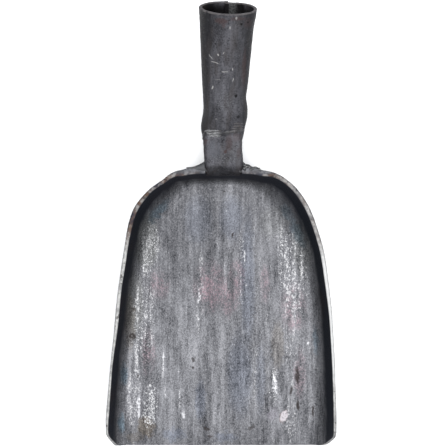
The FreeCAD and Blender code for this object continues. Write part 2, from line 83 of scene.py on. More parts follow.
class Wire:
    """One socket of a node tree, used in formulas."""

    def __init__(self, tree, socket=None):
        self.tree, self.socket = tree, socket

    def node(self, kind, settings=None, sockets=None, output=0):
        """Add any node: its settings first, then the values or wires of its sockets."""
        node = self.tree.nodes.new(kind)
        for name, value in (settings or {}).items():
            if name == "stops":
                while len(node.color_ramp.elements) < len(value):
                    node.color_ramp.elements.new(1.0)
                for element, (place, shade) in zip(node.color_ramp.elements, value):
                    element.position, element.color = place, shade
            elif name == "curve":
                points = node.mapping.curves[0].points
                while len(points) < len(value):
                    points.new(0.5, 0.5)
                for point, place in zip(points, value):
                    point.location = place
                node.mapping.update()
            else:
                setattr(node, name, value)
        for key, value in (sockets or {}).items():
            if isinstance(value, Wire):
                self.tree.links.new(value.socket, named_input(node, key))
            else:
                named_input(node, key).default_value = value
        return Wire(self.tree, node.outputs[output] if node.outputs else None)

    def formula(self, operation, *values):
        return self.node("ShaderNodeMath", {"operation": operation}, dict(enumerate(values)))

    def maths(self, operation, *others):
        """A Math operation that starts from this wire, such as a sine or the larger of two."""
        return self.formula(operation, self, *others)

    def between(self, low, high):
        """A smooth step from 0 at low to 1 at high; high may be the lower of the two."""
        return self.node("ShaderNodeMapRange", {"interpolation_type": "SMOOTHSTEP"},
                         {0: self, 1: low, 2: high, 3: 0.0, 4: 1.0})

    def parts(self):
        """The three numbers of a vector."""
        split = self.node("ShaderNodeSeparateXYZ", None, {0: self})
        return [Wire(self.tree, socket) for socket in split.socket.node.outputs]

    def vector(self, x, y, z):
        return self.node("ShaderNodeCombineXYZ", None, {0: x, 1: y, 2: z})

    def noise(self, place, scale, detail=2.0, roughness=0.5, seed=0.0):
        """Four-dimensional noise, whose fourth number is the seed."""
        sockets = {"Vector": place, "W": seed, "Scale": scale, "Detail": detail, "Roughness": roughness}
        return self.node("ShaderNodeTexNoise", {"noise_dimensions": "4D"}, sockets)

    def mix(self, amount, first, second, blend="MIX"):
        """Blend two colours."""
        return self.node("ShaderNodeMix", {"data_type": "RGBA", "blend_type": blend, "clamp_factor": True},
                         {0: amount, 6: first, 7: second}, output=2)


OPERATORS = {"add": "ADD", "sub": "SUBTRACT", "mul": "MULTIPLY", "truediv": "DIVIDE", "pow": "POWER"}
for sign, operation in OPERATORS.items():
    setattr(Wire, f"__{sign}__", lambda self, other, kind=operation: self.formula(kind, self, other))
    setattr(Wire, f"__r{sign}__", lambda self, other, kind=operation: self.formula(kind, other, self))
print("formulas ready:", ", ".join(OPERATORS))

# %% [markdown]
# ## Plain meshes from Geometry Nodes
# A Geometry Nodes tree is a recipe with named inputs. It is put on an object as a modifier, its inputs
# are set by their identifiers, and the evaluated result is copied to a plain mesh. The modifier is then
# removed, so what is left is an ordinary piece that can be exported.

# %% Helpers for objects and trees
def new_tree(name, numbers):
    """A tree with a mesh in, a material and the named numbers as inputs, and a mesh out."""
    tree = bpy.data.node_groups.new(name, "GeometryNodeTree")
    tree.interface.new_socket("Geometry", in_out="INPUT", socket_type="NodeSocketGeometry")
    tree.interface.new_socket("Material", in_out="INPUT", socket_type="NodeSocketMaterial")
    for label in numbers:
        tree.interface.new_socket(label, in_out="INPUT", socket_type="NodeSocketFloat")
    tree.interface.new_socket("Geometry", in_out="OUTPUT", socket_type="NodeSocketGeometry")
    entry = tree.nodes.new("NodeGroupInput")
    return Wire(tree), {socket.name: Wire(tree, socket) for socket in entry.outputs if socket.name}


def close_tree(make, geometry, material):
    """End a tree with Realize Instances and Set Material."""
    real = make.node("GeometryNodeRealizeInstances", None, {0: geometry})
    done = make.node("GeometryNodeSetMaterial", None, {"Geometry": real, "Material": material})
    exit_node = make.tree.nodes.new("NodeGroupOutput")
    make.tree.links.new(done.socket, exit_node.inputs[0])
    return make.tree


def run_tree(obj, tree, **values):
    """Run a tree on an object and keep the result as its plain mesh."""
    modifier = obj.modifiers.new(tree.name, "NODES")
    modifier.node_group = tree
    for item in tree.interface.items_tree:
        key = item.name.lower().replace(" ", "_")
        if item.in_out == "INPUT" and key in values:
            modifier[item.identifier] = values[key]
    graph = bpy.context.evaluated_depsgraph_get()
    mesh = bpy.data.meshes.new_from_object(obj.evaluated_get(graph), preserve_all_data_layers=True,
                                           depsgraph=graph)
    obj.modifiers.clear()
    obj.data = mesh
    mesh.name = obj.name
    return obj


def new_object(name, data):
    """An object in the scene that holds a mesh, a light or a camera."""
    obj = bpy.data.objects.new(name, data)
    bpy.context.scene.collection.objects.link(obj)
    return obj


def mesh_object(name, points, faces=(), edges=(), **attributes):
    """An object from points in millimetres, with a number for each point in each named attribute."""
    mesh = bpy.data.meshes.new(name)
    mesh.from_pydata((np.asarray(points, float) * MM).tolist(), edges, faces)
    for label, values in attributes.items():
        layer = mesh.attributes.new(label, "FLOAT", "POINT")
        layer.data.foreach_set("value", np.asarray(values, np.float32).ravel())
    mesh.update()
    return new_object(name, mesh)


def tube_faces(rings, around, capped=True):
    """Faces between closed rings of points that follow one another, and across both ends."""
    faces = []
    for start in range(0, (rings - 1) * around, around):
        for p in range(around):
            a, b = start + p, start + (p + 1) % around
            faces.append((a, b, b + around, a + around))
    ends = [tuple(range(around))[::-1], tuple(range((rings - 1) * around, rings * around))]
    return faces + ends if capped else faces


def end_faces(start, around):
    """Faces across the end of a flattened ring, each joining one side of it to the other."""
    pairs = [(start + p, start + around - 1 - p) for p in range(around // 2)]
    return [(a, a + 1, b - 1, b) if b - a > 2 else (a, a + 1, b) for a, b in pairs if b - a > 1]


SHARP_ANGLE = math.radians(50)
SAME_POINT = 0.002 * MM


def finish_mesh(obj):
    """Keep the piece inside the CAD box, join doubled points, face it outwards and shade it smooth."""
    mesh = obj.data
    points = np.empty(len(mesh.vertices) * 3)
    mesh.vertices.foreach_get("co", points)
    points = np.clip(points.reshape(-1, 3), np.array(cad_box[0]), np.array(cad_box[1]))
    mesh.vertices.foreach_set("co", points.ravel())
    bm = bmesh.new()
    bm.from_mesh(mesh)
    bmesh.ops.remove_doubles(bm, verts=bm.verts, dist=SAME_POINT)
    bmesh.ops.recalc_face_normals(bm, faces=bm.faces)
    open_edges = sum(1 for edge in bm.edges if not edge.is_manifold)
    bm.to_mesh(mesh)
    bm.free()
    mesh.polygons.foreach_set("use_smooth", [True] * len(mesh.polygons))
    mesh.set_sharp_from_angle(angle=SHARP_ANGLE)
    mesh.update()
    low, high = points.min(0) / MM, points.max(0) / MM
    print(f"{obj.name}: {len(mesh.polygons)} faces, {open_edges} open edges, "
          f"from {low.round(1).tolist()} to {high.round(1).tolist()} mm")


CURVE_STEPS = 40


def smooth_rows(rows):
    """Rows of numbers joined by a smooth curve, with CURVE_STEPS rows for each one given."""
    rows = np.asarray(rows, float)
    padded = np.vstack([2 * rows[0] - rows[1], rows, 2 * rows[-1] - rows[-2]])
    fine = []
    for first, second, third, fourth in zip(padded, padded[1:], padded[2:], padded[3:]):
        for t in np.linspace(0, 1, CURVE_STEPS, endpoint=False):
            fine.append(0.5 * (2 * second + (third - first) * t
                               + (2 * first - 5 * second + 4 * third - fourth) * t**2
                               + (3 * second - first - 3 * third + fourth) * t**3))
    return np.array(fine + [rows[-1]])


def even_steps(rows, count, width=2):
    """The same curve read again at even distances, measured on its first few columns."""
    steps = np.linalg.norm(np.diff(rows[:, :width], axis=0), axis=1)
    along = np.concatenate([[0], np.cumsum(steps)])
    places = np.linspace(0, along[-1], count)
    return np.column_stack([np.interp(places, along, column) for column in rows.T])


def rough(x, y=0.0, seed=0):
    """Smooth noise between -1 and 1 at a place. Each seed reads another layer of the same noise."""
    return noise.noise(Vector((x, y, 37.0 * seed)))


def clamp(value):
    """The value, kept between 0 and 1."""
    return min(max(value, 0.0), 1.0)


print("helpers ready")

# %% [markdown]
# ## The pan
# The pan is one sheet, dished so that three walls stand up round a flat floor and the front stays open.
# A smith's pan is never a perfect arc, so its rim is drawn through stations that can each be nudged: where
# the outer edge runs, how thick the rim is there, and how far the foot of the wall lies inside it.

# %% Pan stations
SHEET = 2.3
RIM_HEIGHT = 34.0
RIM_FALL = math.radians(1.5)
RIM_BACK, RIM_SLACK = 46.2, 0.4
LIP_EDGE = -166.3
CORNER_FOOT = 1.5
LEFT_CORNER_SLOPE, RIGHT_CORNER_SLOPE = math.radians(66.0), math.radians(68.0)
# x, y of the rim's outer edge, rim width, run from the rim's inside to the wall's foot, bend at the foot
RIM_STATIONS = [
    (-86, -166, 1.8, 5.4, 6), (-86.4, -150, 1.9, 5.4, 6), (-86.1, -138, 2.2, 5.2, 6),
    (-84.2, -115, 1.8, 5.6, 6), (-81.9, -91, 2, 5.4, 6), (-79.4, -68, 2.6, 5, 6), (-76.8, -44, 2.7, 5.2, 7),
    (-73.9, -26, 2.8, 5.4, 8), (-71.7, -11, 3, 5.6, 9), (-69.2, 4, 3.4, 6.2, 10), (-65.6, 14.5, 3.5, 7, 12),
    (-59.8, 22.5, 3.2, 7, 13), (-52.9, 29.2, 2.6, 6.4, 12), (-44.4, 35.2, 2.8, 5.6, 9),
    (-36.6, 41.1, 3.6, 4.8, 7), (-29, 43.6, 4.8, 4.4, 5), (-20, 45.4, 5.2, 4.4, 4), (1, 46, 5.2, 4.8, 4),
    (22, 45.6, 5.4, 5.2, 5), (31, 43.3, 4.6, 5.8, 6), (39, 41.7, 3.8, 6.6, 9), (46.5, 37.9, 3.5, 7.2, 13),
    (54.2, 31.4, 3.2, 7.4, 15), (60.6, 23.2, 3.1, 7.4, 15), (66.4, 13, 3.1, 7.2, 13),
    (71.6, 0, 3.1, 6.2, 11), (76.2, -16, 3, 5.8, 9), (79.6, -36, 2.9, 5.6, 8), (82, -56, 2.7, 5.8, 7),
    (83.8, -80, 2.3, 6.2, 7), (85, -104, 2, 6.8, 7), (85.9, -130, 1.9, 7.2, 8), (86.1, -150, 1.9, 7.4, 8),
    (85.6, -166, 1.8, 7.4, 8),
]
LEFT_MIDDLE, RIGHT_MIDDLE = 11, 22
neck_low, neck_high = (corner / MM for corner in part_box("neck"))
NOTCH_MIDDLE, NOTCH_HALF = (neck_low.x + neck_high.x) / 2, (neck_high.x - neck_low.x) / 2 - 0.8
NOTCH_TOP, NOTCH_EASE = 23.0, 1.2
SIDE_STEPS, BACK_STEPS, WALL_STEPS = 170, 130, 14
FOOT_CROWDING = 1.7
SHOULDER = 0.35
OUTER_FOOT = 0.3
# share of the way across the rim, drop below its top
RIM_PROFILE = ((0.1, 0.12), (0.3, 0.0), (0.5, -0.04), (0.7, 0.0), (0.9, 0.12))
FLOOR_WEAR_HEIGHT = 15.0


def rim_height(y):
    """The rim falls a little towards the lip."""
    return RIM_HEIGHT - RIM_SLACK - math.tan(RIM_FALL) * (RIM_BACK - y)


def corner_cut(y, side):
    """Height of the sloping front corner of a side wall."""
    slope = LEFT_CORNER_SLOPE if side < 0 else RIGHT_CORNER_SLOPE
    return SHEET + CORNER_FOOT + math.tan(slope) * max(y - LIP_EDGE, 0.0)


def soft_lower(first, second, blend):
    """The lower of two heights, rounded where they meet."""
    mix = max(blend - abs(first - second), 0.0) / blend
    return min(first, second) - mix * mix * blend / 4


fine_rim = smooth_rows(RIM_STATIONS)
turns = (0, LEFT_MIDDLE * CURVE_STEPS, RIGHT_MIDDLE * CURVE_STEPS, len(fine_rim) - 1)
left, back, right = [even_steps(fine_rim[start:end + 1], count + 1)
                     for start, end, count in zip(turns, turns[1:], (SIDE_STEPS, BACK_STEPS, SIDE_STEPS))]
rim_line = np.vstack([left, back[1:-1], right])
print(len(rim_line), "stations round the rim")

# %% [markdown]
# ## Skinning the pan
# The floor is a grid stretched between the lip and the foot of the walls. From its edge a band of points
# climbs the inside of the wall, crosses the rim and comes down the outside to a second grid, which is the
# underside. Each point also remembers how worn it is, how much it is rim, and whether it is inside the
# dish, so that the finish can follow the shape.

# %% Build the pan
def outward(line):
    """Unit normals of the rim line, seen from above, level across the pan near the lip."""
    along = np.gradient(line[:, :2], axis=0)
    normals = np.column_stack([-along[:, 1], along[:, 0]])
    near_lip = np.clip((-100.0 - line[:, 1]) / 50.0, 0, 1)
    normals[:, 1] *= 1 - near_lip
    return normals / np.linalg.norm(normals, axis=1)[:, None]


def rounded_foot(height, radius):
    """How far a bend of this radius lies inside the sharp corner at a height above the floor."""
    rest = max(radius - height, 0.0)
    return radius - math.sqrt(max(radius**2 - rest**2, 0.0))


def wall_offsets(station, top):
    """Offset from the wall's foot and height of each point, up the inside and down the outside."""
    _, y, width, run, bend = station
    full = rim_height(y)
    inside, outside = [], []
    for step in range(1, WALL_STEPS + 1):
        share = (step / WALL_STEPS) ** FOOT_CROWDING
        rise = (top - SHOULDER - SHEET) * share
        inside.append((run * rise / (full - SHEET) - rounded_foot(rise, bend), SHEET + rise))
        height = (top - SHOULDER) * share
        foot = SHEET + OUTER_FOOT
        offset = foot + (run + width - foot) * height / full
        outside.append((offset - rounded_foot(height, bend + 1.5), height))
    return inside, outside[::-1]


def build_pan():
    normals = outward(rim_line)
    count = len(rim_line)
    feet = rim_line[:, :2] - normals * (rim_line[:, 2] + rim_line[:, 3])[:, None]
    bands, wear, edge, within = [], [], [], []
    for k, (station, normal, foot) in enumerate(zip(rim_line, normals, feet)):
        x, y, _, _, bend = station
        step = k * 0.35
        uneven = 0.35 * rough(step * 0.5) + 0.25 * rough(step * 2.3, seed=1)
        top = soft_lower(rim_height(y) + uneven, corner_cut(y, x), 7.0)
        in_notch = clamp((NOTCH_HALF - abs(x - NOTCH_MIDDLE)) / NOTCH_EASE) if y > 0 else 0.0
        top += (NOTCH_TOP - top) * in_notch
        inside, outside = wall_offsets(station, top)
        first, last = inside[-1][0], outside[0][0]
        rim = [(first + (last - first) * share, top - drop) for share, drop in RIM_PROFILE]
        sway = 0.55 * rough(x * 0.03, y * 0.03, seed=2)
        nick = 0.3 * rough(step * 3.1, seed=3)
        line = [(-bend, SHEET)] + inside + rim + outside + [(SHEET - 1.2 - bend, 0.0)]
        column = []
        for place, (offset, height) in enumerate(line):
            lean = min(height / RIM_HEIGHT, 1.0)
            at_rim = WALL_STEPS < place <= WALL_STEPS + len(rim)
            shift = offset + lean * sway + (nick if at_rim and offset > (first + last) / 2 else 0.0)
            column.append((*(foot + normal * shift), height))
            worn = clamp(1 - (height - SHEET) / FLOOR_WEAR_HEIGHT)
            wear.append(worn if place <= WALL_STEPS else 0.0)
            edge.append(1.0 - in_notch if at_rim else 0.0)
            within.append(1.0 if place <= WALL_STEPS + len(rim) else 0.0)
        bands.append(column)
    bands = np.array(bands)
    length = bands.shape[1]

    def floor_grid(edge_points):
        """A grid inside the U of edge points, with its open side at the lip."""
        side = edge_points[:SIDE_STEPS + 1]
        far = edge_points[SIDE_STEPS:SIDE_STEPS + BACK_STEPS + 1]
        other = edge_points[SIDE_STEPS + BACK_STEPS:][::-1]
        u = np.linspace(0, 1, BACK_STEPS + 1)[:, None, None]
        v = np.linspace(0, 1, SIDE_STEPS + 1)[None, :, None]
        near_line = side[0] + (other[0] - side[0]) * u[:, :, 0]
        grid = (1 - v) * near_line[:, None] + v * far[:, None] + (1 - u) * side[None] + u * other[None]
        corners = ((1 - u) * (1 - v) * side[0] + u * (1 - v) * other[0]
                   + (1 - u) * v * side[-1] + u * v * other[-1])
        return grid - corners

    top_floor, under_floor = floor_grid(bands[:, 0]), floor_grid(bands[:, -1])
    points = bands.reshape(-1, 3).tolist()
    rows, columns = BACK_STEPS + 1, SIDE_STEPS + 1

    def edge_index(i, j):
        """Which station a border point of the floor grid belongs to, or None inside the grid."""
        if i == 0:
            return j
        if j == columns - 1:
            return SIDE_STEPS + i
        if i == rows - 1:
            return SIDE_STEPS + BACK_STEPS + (columns - 1 - j)
        return None

    faces, lips = [], []
    for grid, place, worn in ((top_floor, 0, 1.0), (under_floor, length - 1, 0.0)):
        numbers = np.zeros((rows, columns), int)
        for i in range(rows):
            for j in range(columns):
                k = edge_index(i, j)
                if k is None:
                    numbers[i, j] = len(points)
                    points.append(grid[i, j].tolist())
                    wear.append(worn)
                    edge.append(0.0)
                    within.append(worn)
                else:
                    numbers[i, j] = k * length + place
        for i in range(rows - 1):
            for j in range(columns - 1):
                faces.append((numbers[i, j], numbers[i + 1, j], numbers[i + 1, j + 1], numbers[i, j + 1]))
        lips.append(numbers[:, 0])
    for k in range(count - 1):
        for p in range(length - 1):
            a = k * length + p
            faces.append((a, a + 1, a + 1 + length, a + length))
    above, below = lips
    faces += [(above[i], above[i + 1], below[i + 1], below[i]) for i in range(rows - 1)]
    faces += end_faces(0, length) + end_faces((count - 1) * length, length)
    return mesh_object("pan_sheet", points, faces, floor_wear=wear, rim_wear=edge, inside=within)


pan = build_pan()
print("pan:", len(pan.data.polygons), "faces before hammering")

# %% [markdown]
# ## The neck
# The neck is a flat bar. It is drawn from the side as a line that leaves the socket, runs straight down the
# handle's slope, rolls over the rim and dies into the inside of the back wall. A rounded bar section is
# swept down that line, and its two edges wander a little, as they do when a bar is drawn out by hand.

# %% Build the neck
RISE = math.radians(21.0)
WALL_LEAN = math.radians(81.8)
NECK_THICKNESS = 9.0
ROLL_RADIUS, ROLL_CENTRE = 14.0, (53.68, 24.50)
NECK_TOP = (61.54, 42.52)
NECK_STRAIGHT, NECK_IN_SOCKET, NECK_FOOT_HEIGHT = 13.8, 12.0, 14.0
NECK_BEVEL, FACE_PROUD, SINK_IN_TOE = 2.7, 0.35, 6.0
# distance down the face from the socket's toe, left edge, right edge
NECK_EDGES = [
    (-12, -8, 10.2), (-9, -12.6, 14.6), (-5, -13.4, 15.2), (0, -13.5, 15.4), (5.3, -13.2, 15.6),
    (9, -12.8, 15.9), (13, -12.6, 16.2), (20, -12.5, 16.5), (30, -13, 16.3), (42, -13.2, 16.2),
]


def neck_side_line():
    """Points down the middle of the face, seen from the side, each with the direction it faces."""
    slope = (math.cos(RISE), math.sin(RISE))
    rows = [(NECK_TOP[0] + slope[0] * s, NECK_TOP[1] + slope[1] * s, RISE + math.pi / 2)
            for s in np.linspace(NECK_IN_SOCKET, -NECK_STRAIGHT, 18)]
    start, end = RISE + math.pi / 2, WALL_LEAN + math.pi / 2
    rows += [(ROLL_CENTRE[0] + ROLL_RADIUS * math.cos(a), ROLL_CENTRE[1] + ROLL_RADIUS * math.sin(a), a)
             for a in np.linspace(start, end, 24)[1:]]
    y, z, facing = rows[-1]
    run = (z - NECK_FOOT_HEIGHT) / math.sin(WALL_LEAN)
    rows += [(y - math.cos(WALL_LEAN) * s, z - math.sin(WALL_LEAN) * s, facing)
             for s in np.linspace(0, run, 14)[1:]]
    return np.array(rows)


def bar_section(width, thickness, radius, steps=88):
    """A rounded bar section as rows of (across, depth below the face)."""
    across, deep = width / 2 - radius, thickness - radius
    corners = ((across, radius, -90), (across, deep, 0), (-across, deep, 90), (-across, radius, 180))
    line = [(-across, 0)]
    for x, depth, start in corners:
        turns = [math.radians(start + turn) for turn in range(0, 91, 15)]
        line += [(x + radius * math.cos(turn), depth + radius * math.sin(turn)) for turn in turns]
    return even_steps(np.array(line, float), steps + 1)[:-1]


def build_neck():
    side = neck_side_line()
    down = np.concatenate([[0], np.cumsum(np.hypot(*np.diff(side[:, :2], axis=0).T))]) - NECK_IN_SOCKET
    edges = np.array(NECK_EDGES)
    points = []
    for (y, z, facing), s in zip(side, down):
        low, high = np.interp(s, edges[:, 0], edges[:, 1]), np.interp(s, edges[:, 0], edges[:, 2])
        low, high = low + 0.3 * rough(s * 0.15), high + 0.3 * rough(s * 0.15, seed=4)
        sink = clamp((s - 31.0) / 7.0) + SINK_IN_TOE * clamp((-6.5 - s) / 5.5) - FACE_PROUD
        for x, depth in bar_section(high - low, NECK_THICKNESS, NECK_BEVEL):
            d = depth + sink
            points.append(((low + high) / 2 + x, y - math.cos(facing) * d, z - math.sin(facing) * d))
    return mesh_object("neck_bar", points, tube_faces(len(side), len(points) // len(side)))


neck = build_neck()
print("neck:", len(neck.data.polygons), "faces")

# %% [markdown]
# ## The socket
# The socket starts as a flat sheet and is rolled round until its long edges nearly meet, with one edge
# lapped a little inside the other. The blank here is a flat slab with numbers for its place round the
# roll, along it and through the sheet. A Geometry Nodes tree then rolls the slab by a rule, so its length,
# wall, seam and lap stay named numbers that can be changed.

# %% The flat blank
SOCKET_ROUND, SOCKET_ALONG = 150, 120
SOCKET_LENGTH = 100.0
# place along and through the sheet, round the edge of the mouth
MOUTH_EDGE = [(0.997, 0.0), (0.9995, 0.2), (1.0, 0.5), (0.9995, 0.8), (0.997, 1.0)]


def build_blank():
    """A closed slab: x goes round the roll, y along it and z through the sheet, each from 0 to 1."""
    along = np.linspace(0, 1, SOCKET_ALONG + 1) ** 0.92
    line = [(y, 0.0) for y in along[:-1]] + MOUTH_EDGE + [(y, 1.0) for y in along[:-1][::-1]]
    points = [(k / SOCKET_ROUND, y, z) for k in range(SOCKET_ROUND + 1) for y, z in line]
    ring = len(line)
    faces = tube_faces(SOCKET_ROUND + 1, ring, capped=False)
    faces += end_faces(0, ring) + end_faces(SOCKET_ROUND * ring, ring)
    return mesh_object("rolled_socket", np.array(points) / MM, faces)


socket = build_blank()
print("blank:", len(socket.data.polygons), "faces")

# %% [markdown]
# The rule for the roll needs the socket's half width on each side and its half depth at every distance
# from the toe. Float Curve nodes hold them. They show a toe that is hammered flat to meet the neck, a
# swelling that runs round it on a slant, a waist above that, and a mouth turned out at the end.

# %% Roll the socket
CURVE_TOP = 25.0
TOE_SQUARENESS, SQUARE_LENGTH = 0.62, 15.0
LEFT_HALF = [
    (0, 14.4), (5, 15.8), (9.5, 16.8), (14, 16.4), (20, 15.5), (25, 15.3), (30, 15.7), (45, 17), (60, 18.1),
    (75, 19.2), (90, 20.1), (98, 21),
]
RIGHT_HALF = [
    (0, 13.9), (6, 15.3), (11, 16.3), (17, 17.5), (23, 17.5), (27, 17), (32, 16.2), (45, 17), (60, 18),
    (75, 18.8), (89, 19.9), (94, 20.8), (98, 21.4),
]
HALF_DEPTH = [
    (0, 7), (4, 8.4), (7, 10.3), (9, 12.2), (11, 13.9), (15, 16.6), (22, 16.9), (30, 16.1), (60, 18),
    (88, 19.7), (94, 20.4), (98, 21.1),
]
AXIS_DROP = [
    (0, 7), (4, 5.6), (7, 4.1), (9, 2.7), (11, 1.6), (15, 0.2), (20, 0), (98, 0),
]


def height_curve(make, t, rows):
    """A curve through rows of (distance from the toe, size), both in millimetres."""
    points = [(place / SOCKET_LENGTH, value / CURVE_TOP) for place, value in rows]
    points[-1] = (1.0, points[-1][1])
    return make.node("ShaderNodeFloatCurve", {"curve": points}, {"Value": t / SOCKET_LENGTH}) * CURVE_TOP


def socket_tree():
    make, given = new_tree("roll_socket", ["Wall", "Seam overlap", "Lap", "Seam lift"])
    x, y, z = make.node("GeometryNodeInputPosition").parts()
    t = y * SOCKET_LENGTH
    towards_mouth = t.between(20.0, SOCKET_LENGTH)
    turn = (x - 0.5) * (2 * math.pi) + given["Seam overlap"] / 18.0 * x.between(0.6, 1.0) * towards_mouth
    right = x.maths("GREATER_THAN", 0.5)
    left_half, right_half = height_curve(make, t, LEFT_HALF), height_curve(make, t, RIGHT_HALF)
    lap = given["Lap"] * x.between(0.85, 0.98) * towards_mouth
    inset = given["Wall"] * z + lap
    half_width = left_half + (right_half - left_half) * right - inset
    half_depth = (height_curve(make, t, HALF_DEPTH) - inset).maths("MAXIMUM", 1.0)
    squareness = TOE_SQUARENESS + (1 - TOE_SQUARENESS) * t.between(0.0, SQUARE_LENGTH)
    sine, cosine = turn.maths("SINE"), turn.maths("COSINE")

    def rounded(value):
        return value.maths("ABSOLUTE") ** squareness * value.maths("SIGN")

    beside_seam = (x - 0.5).maths("ABSOLUTE").between(0.47, 0.5)
    lifted = t + given["Seam lift"] * (beside_seam - 1.0) * y.between(0.96, 1.0)
    across = half_width * rounded(sine)
    up = height_curve(make, t, AXIS_DROP) + half_depth * rounded(cosine)
    place = make.vector(across * MM, lifted * MM, up * MM)
    moved = make.node("GeometryNodeSetPosition", None, {"Geometry": given["Geometry"], "Position": place})
    return close_tree(make, moved, given["Material"])


run_tree(socket, socket_tree(), wall=2.2, seam_overlap=2.2, lap=2.7, seam_lift=0.35)
print("socket rolled:", [round(value / MM, 1) for value in socket.dimensions], "mm")

# %% [markdown]
# The rolled socket still lies along its own axis. One matrix sets it on the handle line: it rises at the
# neck's slope and turns a little to the right. The matrix is applied to the mesh, so the object itself
# stays at the origin, as the CAD nodes do. A domed plug closes the bottom of the hollow.

# %% Set the socket on the handle line
SOCKET_TURN = math.radians(-2.15)
SOCKET_TOE = Vector((1.2, 66.74, 28.98)) * MM
HANDLE_LINE = (Matrix.Translation(SOCKET_TOE) @ Matrix.Rotation(SOCKET_TURN, 4, "Z")
               @ Matrix.Rotation(RISE, 4, "X"))


def socket_skin(angle, t):
    """A point of the socket's outside, in its own frame, from the rule that rolls it."""
    tables = [np.array(rows, float) for rows in (LEFT_HALF, RIGHT_HALF, HALF_DEPTH, AXIS_DROP)]
    low, high, depth, drop = [np.interp(t, rows[:, 0], rows[:, 1]) for rows in tables]
    squareness = TOE_SQUARENESS + (1 - TOE_SQUARENESS) * clamp(t / SQUARE_LENGTH)
    sine, cosine = math.sin(angle), math.cos(angle)
    across = (high if sine > 0 else low) * math.copysign(abs(sine) ** squareness, sine)
    return across, t, drop + depth * math.copysign(abs(cosine) ** squareness, cosine)


def add_plug():
    """A dome inside the socket where the hollow ends, joined to its mesh."""
    rings, around, straight, fill, points = 10, 48, 0.7, 0.86, []
    for share in np.linspace(0, 1, rings):
        bend = max(share - straight, 0.0) * 4.6
        t, size = 14.0 + 5.0 * math.sin(bend), fill * math.cos(bend)
        if share < straight:
            t = 3.0 + 13.0 * share
        for k in range(around):
            x, _, z = socket_skin(2 * math.pi * k / around, min(t, 16.0))
            centre = 7.5 * max(1 - t / 14.0, 0.0)
            points.append((x * size, t, centre + (z - centre) * size))
    plug = mesh_object("plug", points, tube_faces(rings, around))
    both = bmesh.new()
    both.from_mesh(socket.data)
    both.from_mesh(plug.data)
    both.to_mesh(socket.data)
    both.free()
    bpy.data.objects.remove(plug)


add_plug()
socket.data.transform(HANDLE_LINE)
print("socket toe at", [round(value / MM, 1) for value in SOCKET_TOE], "mm")

# %% [markdown]
# ## Weld metal
# Where the socket meets the neck, the hot metal left one bead right round the joint and a set of short
# wrinkles across its front and back. Each is a path of edges on the socket's skin. The Geometry Nodes tree
# turns a path to a curve, gives it a round section whose size swells and shrinks along the path, and so
# makes the ripples of a weld. The same tree makes the bead round the neck's foot.

# %% Beads that follow a path
def bead_tree():
    make, given = new_tree("weld_bead", ["Radius", "Ripple length", "Ripple size", "Flatness", "Seed"])
    curve = make.node("GeometryNodeMeshToCurve", None, {"Mesh": given["Geometry"]})
    length = make.node("GeometryNodeSplineParameter", output=1)
    place = make.node("GeometryNodeInputPosition")
    waves = (length * (2 * math.pi) / given["Ripple length"]).maths("SINE")
    drift = make.noise(place, 260.0, 2.0, 0.5, given["Seed"]) - 0.5
    swell = 1.0 + given["Ripple size"] * waves + drift * given["Flatness"]
    ring = make.node("GeometryNodeCurvePrimitiveCircle", {"mode": "RADIUS"},
                     {"Resolution": 14, "Radius": 1.0})
    tube = make.node("GeometryNodeCurveToMesh", None, {"Curve": curve, "Profile Curve": ring,
                                                       "Scale": given["Radius"] * swell, "Fill Caps": True})
    return close_tree(make, tube, given["Material"])


BEAD = bead_tree()


def path_object(name, path, closed):
    """An object of edges only, through points in millimetres."""
    edges = [(k, k + 1) for k in range(len(path) - 1)]
    return mesh_object(name, path, edges=edges + [(len(path) - 1, 0)] if closed else edges)


def joined(name, pieces):
    """Several objects' meshes as one object."""
    bm = bmesh.new()
    for piece in pieces:
        bm.from_mesh(piece.data)
        bpy.data.objects.remove(piece)
    mesh = bpy.data.meshes.new(name)
    bm.to_mesh(mesh)
    bm.free()
    return new_object(name, mesh)


# from angle, to angle, place at the front, rise across, radius, how deep the middle lies, ripple size
WRINKLES = [
    (-180, 180, 9.6, 6, 2.3, 2.1, 0.03), (-62, 2, 6.3, 0.8, 1.4, 0.15, 0.14),
    (-72, -6, 8.3, 1, 1.2, 0.2, 0.16), (-66, 8, 10.8, 1.2, 0.9, 0.45, 0.1),
    (8, 66, 13.6, 0.9, 0.9, 0.3, 0.16), (20, 64, 15.8, 0.9, 0.8, 0.25, 0.12),
    (18, 62, 17.8, 0.9, 0.8, 0.3, 0.12), (-60, 40, 20.4, 0.6, 1, 0.85, 0.06),
    (100, 250, 9, -2, 1.4, 0.8, 0.1),
]
WRINKLE_BOW, WRINKLE_STEP, WRINKLE_TAPER = 0.37, 2.5, 1.3


def wrinkle(number, first, last, start, rise, radius, deep, ripple):
    closed = last - first == 360
    steps = max(int((last - first) / WRINKLE_STEP), 8)
    path = []
    for k in range(steps if closed else steps + 1):
        share = k / steps
        angle = math.radians(first + (last - first) * share)
        across = math.sin(angle) / 2 if closed else share - 0.5
        bow = WRINKLE_BOW * (socket_skin(angle, start)[2] - socket_skin(0.0, start)[2])
        sway = 0.3 * rough(3 * math.cos(angle), 3 * math.sin(angle), seed=number)
        t = max(start + rise * across + bow + sway, 0.2)
        x, _, z = socket_skin(angle, t)
        centre = np.interp(t, [0, 15], [7.5, 0])
        ends = 0.0 if closed else WRINKLE_TAPER * abs(2 * share - 1) ** 3
        size = 1 - (deep + ends) / math.hypot(x, z - centre)
        point = Vector((x * size, t, centre + (z - centre) * size))
        path.append(HANDLE_LINE @ (point * MM) / MM)
    bead = path_object(f"wrinkle_{number}", path, closed)
    return run_tree(bead, BEAD, radius=radius * MM, ripple_length=5.0 * MM, ripple_size=ripple, flatness=0.7,
                    seed=float(number))


